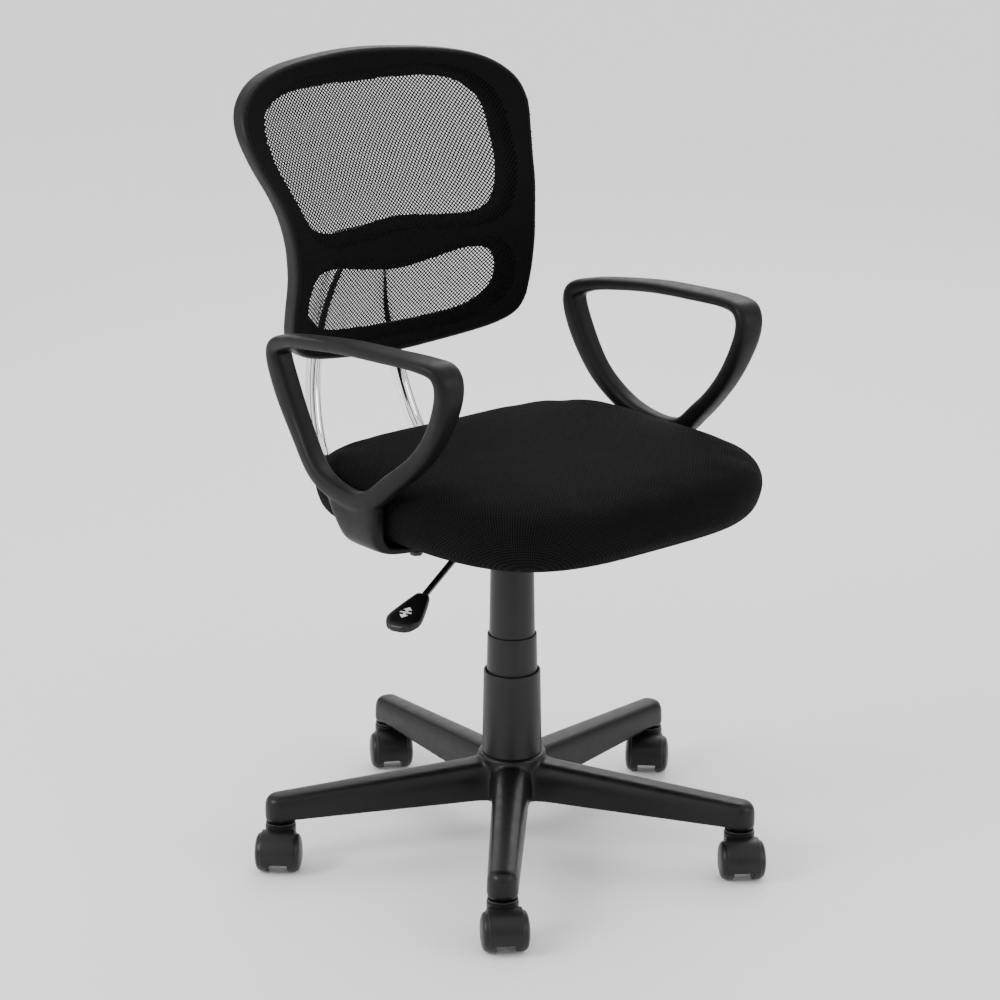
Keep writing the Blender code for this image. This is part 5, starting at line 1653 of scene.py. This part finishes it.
    def build(self) -> None:
        """Settle the frame, the net, its corded edge and the bars."""
        body = self.frame_body()
        Piece("back_frame_moulding", body, FRAME_PLASTIC, "seat", "black_plastic", ["back_frame"]).settle()
        net, area = self.net()
        piece = Piece("back_net", net, NET_YARN, "seat", "back_net", ["back_mesh"], crisp=False).settle()
        solid = piece.modifiers.new("yarn_thickness", "SOLIDIFY")
        solid.thickness = self.net_thick
        solid.offset = 1.0
        edge = Piece("back_welt", self.welt(), NET_WELT, "seat", "back_net").settle()
        for side in Side:
            node = f"back_bar_{side.word}"
            tube = self.bar_mesh(side, self.bar_radius)
            Piece(f"{node}_tube", tube, CHROME, "seat", "chrome", [node]).settle()


# ------------------------------------------------------------------ lever


@dataclass
class Lever:
    """Bent height lever with a flat moulded paddle and its printed sign."""

    radius: float = 3.75 * MM
    knee: float = 48.0 * MM
    forward: float = 22.0
    drop: float = 18.0
    reach: float = 152.0 * MM
    bend: float = 14.0 * MM
    grip: float = 12.0 * MM
    paddle_length: float = 62.0 * MM
    half: float = 20.0 * MM
    thick: float = 12.0 * MM
    outline: Sequence[Row] = (
        (0.00, 0.36, 0.66),
        (0.04, 0.44, 0.84),
        (0.30, 0.70, 0.94),
        (0.62, 0.97, 1.00),
        (0.74, 1.00, 1.00),
        (0.82, 0.93, 0.97),
        (0.88, 0.84, 0.92),
        (0.93, 0.74, 0.84),
        (0.97, 0.60, 0.72),
        (1.00, 0.36, 0.50),
    )

    def __post_init__(self) -> None:
        """Work out the lever's directions and its ends."""
        forward, drop = math.radians(self.forward), math.radians(self.drop)
        level = math.cos(drop)
        self.run = Vector((-level * math.cos(forward), -level * math.sin(forward), -math.sin(drop)))
        self.across = self.run.cross(Z_AXIS).normalized()
        self.up = self.across.cross(self.run).normalized()
        height = joint_named("lever_lift")["pos_m"][2]
        self.start = Vector((COLUMN.x + 3.0 * MM, COLUMN.y, height))
        self.knee_point = Vector((COLUMN.x - self.knee, COLUMN.y - self.radius, height))
        self.end = self.knee_point + self.run * self.reach
        self.neck = self.end - self.run * self.grip

    def rod(self) -> bpy.types.Mesh:
        """Build the bent rod."""
        run_in = (self.knee_point - self.start).normalized()
        away = self.bend * math.tan(run_in.angle(self.run) / 2)
        first, last = self.knee_point - run_in * away, self.knee_point + self.run * away
        points = [self.start + run_in * 0.6 * MM]
        for step in range(9):
            t = step / 8
            points.append(first * (1 - t) ** 2 + self.knee_point * (2 * t * (1 - t)) + last * t**2)
        points += [self.end]
        rings = []
        for index, point in enumerate(points):
            along = (points[min(index + 1, len(points) - 1)] - points[max(index - 1, 0)]).normalized()
            across = along.cross(Z_AXIS).normalized()
            rings.append(oval(point, across, across.cross(along), self.radius, self.radius, 24, 2.0))
        return to_mesh(loft(rings), "lever_rod_bent")

    def paddle(self) -> bpy.types.Mesh:
        """Build the paddle, dished on its upper face and notched at its end."""
        rings = []
        for share, wide, deep in flow(self.outline, 4):
            centre = self.neck + self.run * (self.paddle_length * share)
            rings.append(oval(centre, self.across, self.up, self.half * wide, self.thick / 2 * deep, 32, 3.6))
        body = to_mesh(loft(rings), "lever_paddle_grip")
        for sign in (-1, 1):
            spot = self.neck + self.run * (self.paddle_length * 1.02) + self.across * (sign * self.half * 0.62)
            bite = drum(spot - self.up * 0.02, spot + self.up * 0.02, 4.6 * MM, 40)
            body = combined(body, to_mesh(bite, "bite"), Joining.CUT)
        bore = drum(self.neck - self.run * 0.02, self.end + self.run * 0.3 * MM, self.radius + 0.3 * MM, 32)
        body = combined(body, to_mesh(bore, "rod_bore"), Joining.CUT)
        return bevelled(body, 0.8 * MM, 3)

    def sign(self) -> bpy.types.Mesh:
        """Build the printed sign: two arrows, up and down, on either side of a bar."""
        shape = bmesh.new()
        middle = self.neck + self.run * (self.paddle_length * 0.62) + self.up * (self.thick / 2 + 0.05 * MM)
        for sign in (-1, 1):
            point, neck, tail = (sign * far * MM for far in (9.5, 4.5, 1.8))
            barb, half = 5.2 * MM, 1.6 * MM
            tip = [(point, 0.0), (neck, barb), (neck, -barb)]
            stem = [(neck, half), (neck, -half), (tail, -half), (tail, half)]
            for corners in (tip, stem):
                shape.faces.new([shape.verts.new(middle + self.run * a + self.across * b) for a, b in corners])
        bar = [(-0.8 * MM, -7 * MM), (0.8 * MM, -7 * MM), (0.8 * MM, 7 * MM), (-0.8 * MM, 7 * MM)]
        shape.faces.new([shape.verts.new(middle + self.run * a + self.across * b) for a, b in bar])
        grown = bmesh.ops.extrude_face_region(shape, geom=shape.faces[:])
        moved = [item for item in grown["geom"] if isinstance(item, bmesh.types.BMVert)]
        bmesh.ops.translate(shape, verts=moved, vec=self.up * 0.25 * MM)
        bmesh.ops.recalc_face_normals(shape, faces=shape.faces[:])
        return to_mesh(shape, "lever_sign")

    def build(self) -> None:
        """Settle the rod, the paddle and the sign."""
        Piece("lever_rod_bent", self.rod(), LEVER_COAT, "lever", "black_paint", ["lever_rod"]).settle()
        paddle = self.paddle()
        Piece("lever_paddle_grip", paddle, PADDLE_PLASTIC, "lever", "black_plastic", ["lever_paddle"]).settle()
        Piece("lever_sign", self.sign(), WHITE_INK, "lever", "black_plastic").settle()


# ------------------------------------------------------------------ what stays from the CAD


def dress_cad_nodes() -> None:
    """Give each CAD node that still shows its finish."""
    finishes = {
        "black_nylon": BASE_NYLON,
        "black_plastic": FRAME_PLASTIC,
        "wheel_plastic": WHEEL_NYLON,
        "black_paint": BLACK_COAT,
        "chrome": CHROME,
        "steel": BRIGHT_STEEL,
        "bush_plastic": ACETAL,
        "under_cloth": UNDER_CLOTH,
        "plywood": PLY,
        "seat_fabric": UNDER_CLOTH,
        "back_net": UNDER_CLOTH,
    }
    slots = {entry["node"]: entry["material_slot"] for entry in frame["record"]["subparts"]}
    for name, thing in frame["nodes"].items():
        thing.data.materials.clear()
        finish = DARK_STEEL if name.startswith("arm_bolt") else finishes[slots[name]]
        thing.data.materials.append(finish.material())


# ------------------------------------------------------------------ studio


@dataclass
class Studio:
    """Pale floor, soft lights and the camera."""

    turn: float = 40.0
    fall: float = 17.2845
    distance: float = 3.0289
    lens: float = 96.48
    sideways: float = -13.9 * MM
    aim_height: float = 411.3 * MM
    bright: float = 1.45
    card_away: float = 3.9
    card_height: float = 3.2
    cards: Sequence[tuple[float, float]] = ((-138.0, 1.0), (-44.0, 0.7), (10.0, 1.0), (52.0, 0.6), (120.0, 1.2))

    def floor(self) -> None:
        """Lay the floor."""
        shape = bmesh.new()
        bmesh.ops.create_grid(shape, x_segments=2, y_segments=2, size=30.0)
        thing = in_scene(to_mesh(shape, "studio_floor"), "studio_floor")
        thing.data.materials.append(FLOOR_PAINT.material())
        thing.location.z = -0.2 * MM

    def card(self, azimuth: float, width: float) -> None:
        """Stand a dark card out of view, for the bright metal to mirror as a dark line.

        Args:
            azimuth: degrees round the chair from the camera's side.
            width: how wide the card is.
        """
        shape = bmesh.new()
        bmesh.ops.create_grid(shape, x_segments=1, y_segments=1, size=0.5)
        bmesh.ops.scale(shape, verts=shape.verts, vec=(width, self.card_height, 1.0))
        turned = Matrix.Translation(COLUMN) @ Matrix.Rotation(math.radians(azimuth - self.turn), 4, "Z")
        stand = Matrix.Translation((0.0, -self.card_away, self.card_height / 2 + 0.05))
        upright = Matrix.Rotation(math.pi / 2, 4, "X")
        bmesh.ops.transform(shape, matrix=turned @ stand @ upright, verts=shape.verts)
        name = f"dark_card_{round(azimuth) % 360}"
        thing = in_scene(to_mesh(shape, name), name)
        thing.data.materials.append(CARD_FELT.material())

    def camera(self) -> None:
        """Set the camera up in front of the chair, on its right."""
        data = bpy.data.cameras.new("studio_camera")
        data.lens = self.lens
        data.sensor_width = 36.0
        thing = bpy.data.objects.new("studio_camera", data)
        bpy.context.scene.collection.objects.link(thing)
        fall = math.radians(self.fall)
        turned = Matrix.Translation(COLUMN) @ Matrix.Rotation(-math.radians(self.turn), 4, "Z")
        height = self.aim_height + self.distance * math.sin(fall)
        stand = Vector((self.sideways, -self.distance * math.cos(fall), height))
        thing.matrix_world = turned @ Matrix.Translation(stand) @ Matrix.Rotation(math.pi / 2 - fall, 4, "X")
        bpy.context.scene.camera = thing

    def lamp(self, name: str, azimuth: float, height: float, away: float, size: float, power: float) -> None:
        """Hang a soft square lamp that points at the seat.

        Args:
            name: the lamp's name.
            azimuth: degrees round the chair from the camera's side, to the right.
            height: height over the floor.
            away: distance from the column.
            size: length of its sides.
            power: its power in watts.
        """
        data = bpy.data.lights.new(name, "AREA")
        data.shape = "SQUARE"
        data.size = size
        data.energy = power
        thing = bpy.data.objects.new(name, data)
        bpy.context.scene.collection.objects.link(thing)
        angle = math.radians(azimuth - self.turn) - math.pi / 2
        place = COLUMN + Vector((math.cos(angle) * away, math.sin(angle) * away, height))
        aim = COLUMN + Vector((0.0, 0.0, 0.45)) - place
        thing.matrix_world = Matrix.Translation(place) @ aim.to_track_quat("-Z", "Y").to_matrix().to_4x4()

    def world(self) -> None:
        """Fill the room with even pale light."""
        world = bpy.data.worlds.new("studio_air")
        world.use_nodes = True
        nodes = world.node_tree.nodes
        nodes["Background"].inputs["Color"].default_value = (1.0, 1.0, 1.0, 1.0)
        nodes["Background"].inputs["Strength"].default_value = self.bright
        bpy.context.scene.world = world

    def build(self) -> None:
        """Set the whole studio up."""
        self.floor()
        for azimuth, width in self.cards:
            self.card(azimuth, width)
        self.world()
        self.lamp("key", -62.0, 1.9, 2.8, 1.2, 55.0)
        self.lamp("fill", 62.0, 1.5, 3.0, 1.2, 22.0)
        self.lamp("back", 165.0, 2.6, 2.4, 1.6, 30.0)
        self.camera()


def main() -> None:
    """Build the chair's looks in order, from the floor up."""
    Studio().build()
    dress_cad_nodes()
    StarBase().build()
    pattern = Caster(1)
    housing = pattern.housing()
    wheels = {side: pattern.wheel(side.value) for side in Side}
    for number in range(1, 6):
        Caster(number).build(housing, wheels)
    Cover().build()
    Lever().build()
    Seat().build()
    for side in Side:
        Arm(side).build()
    Back().build()


if __name__ == "__main__":
    main()
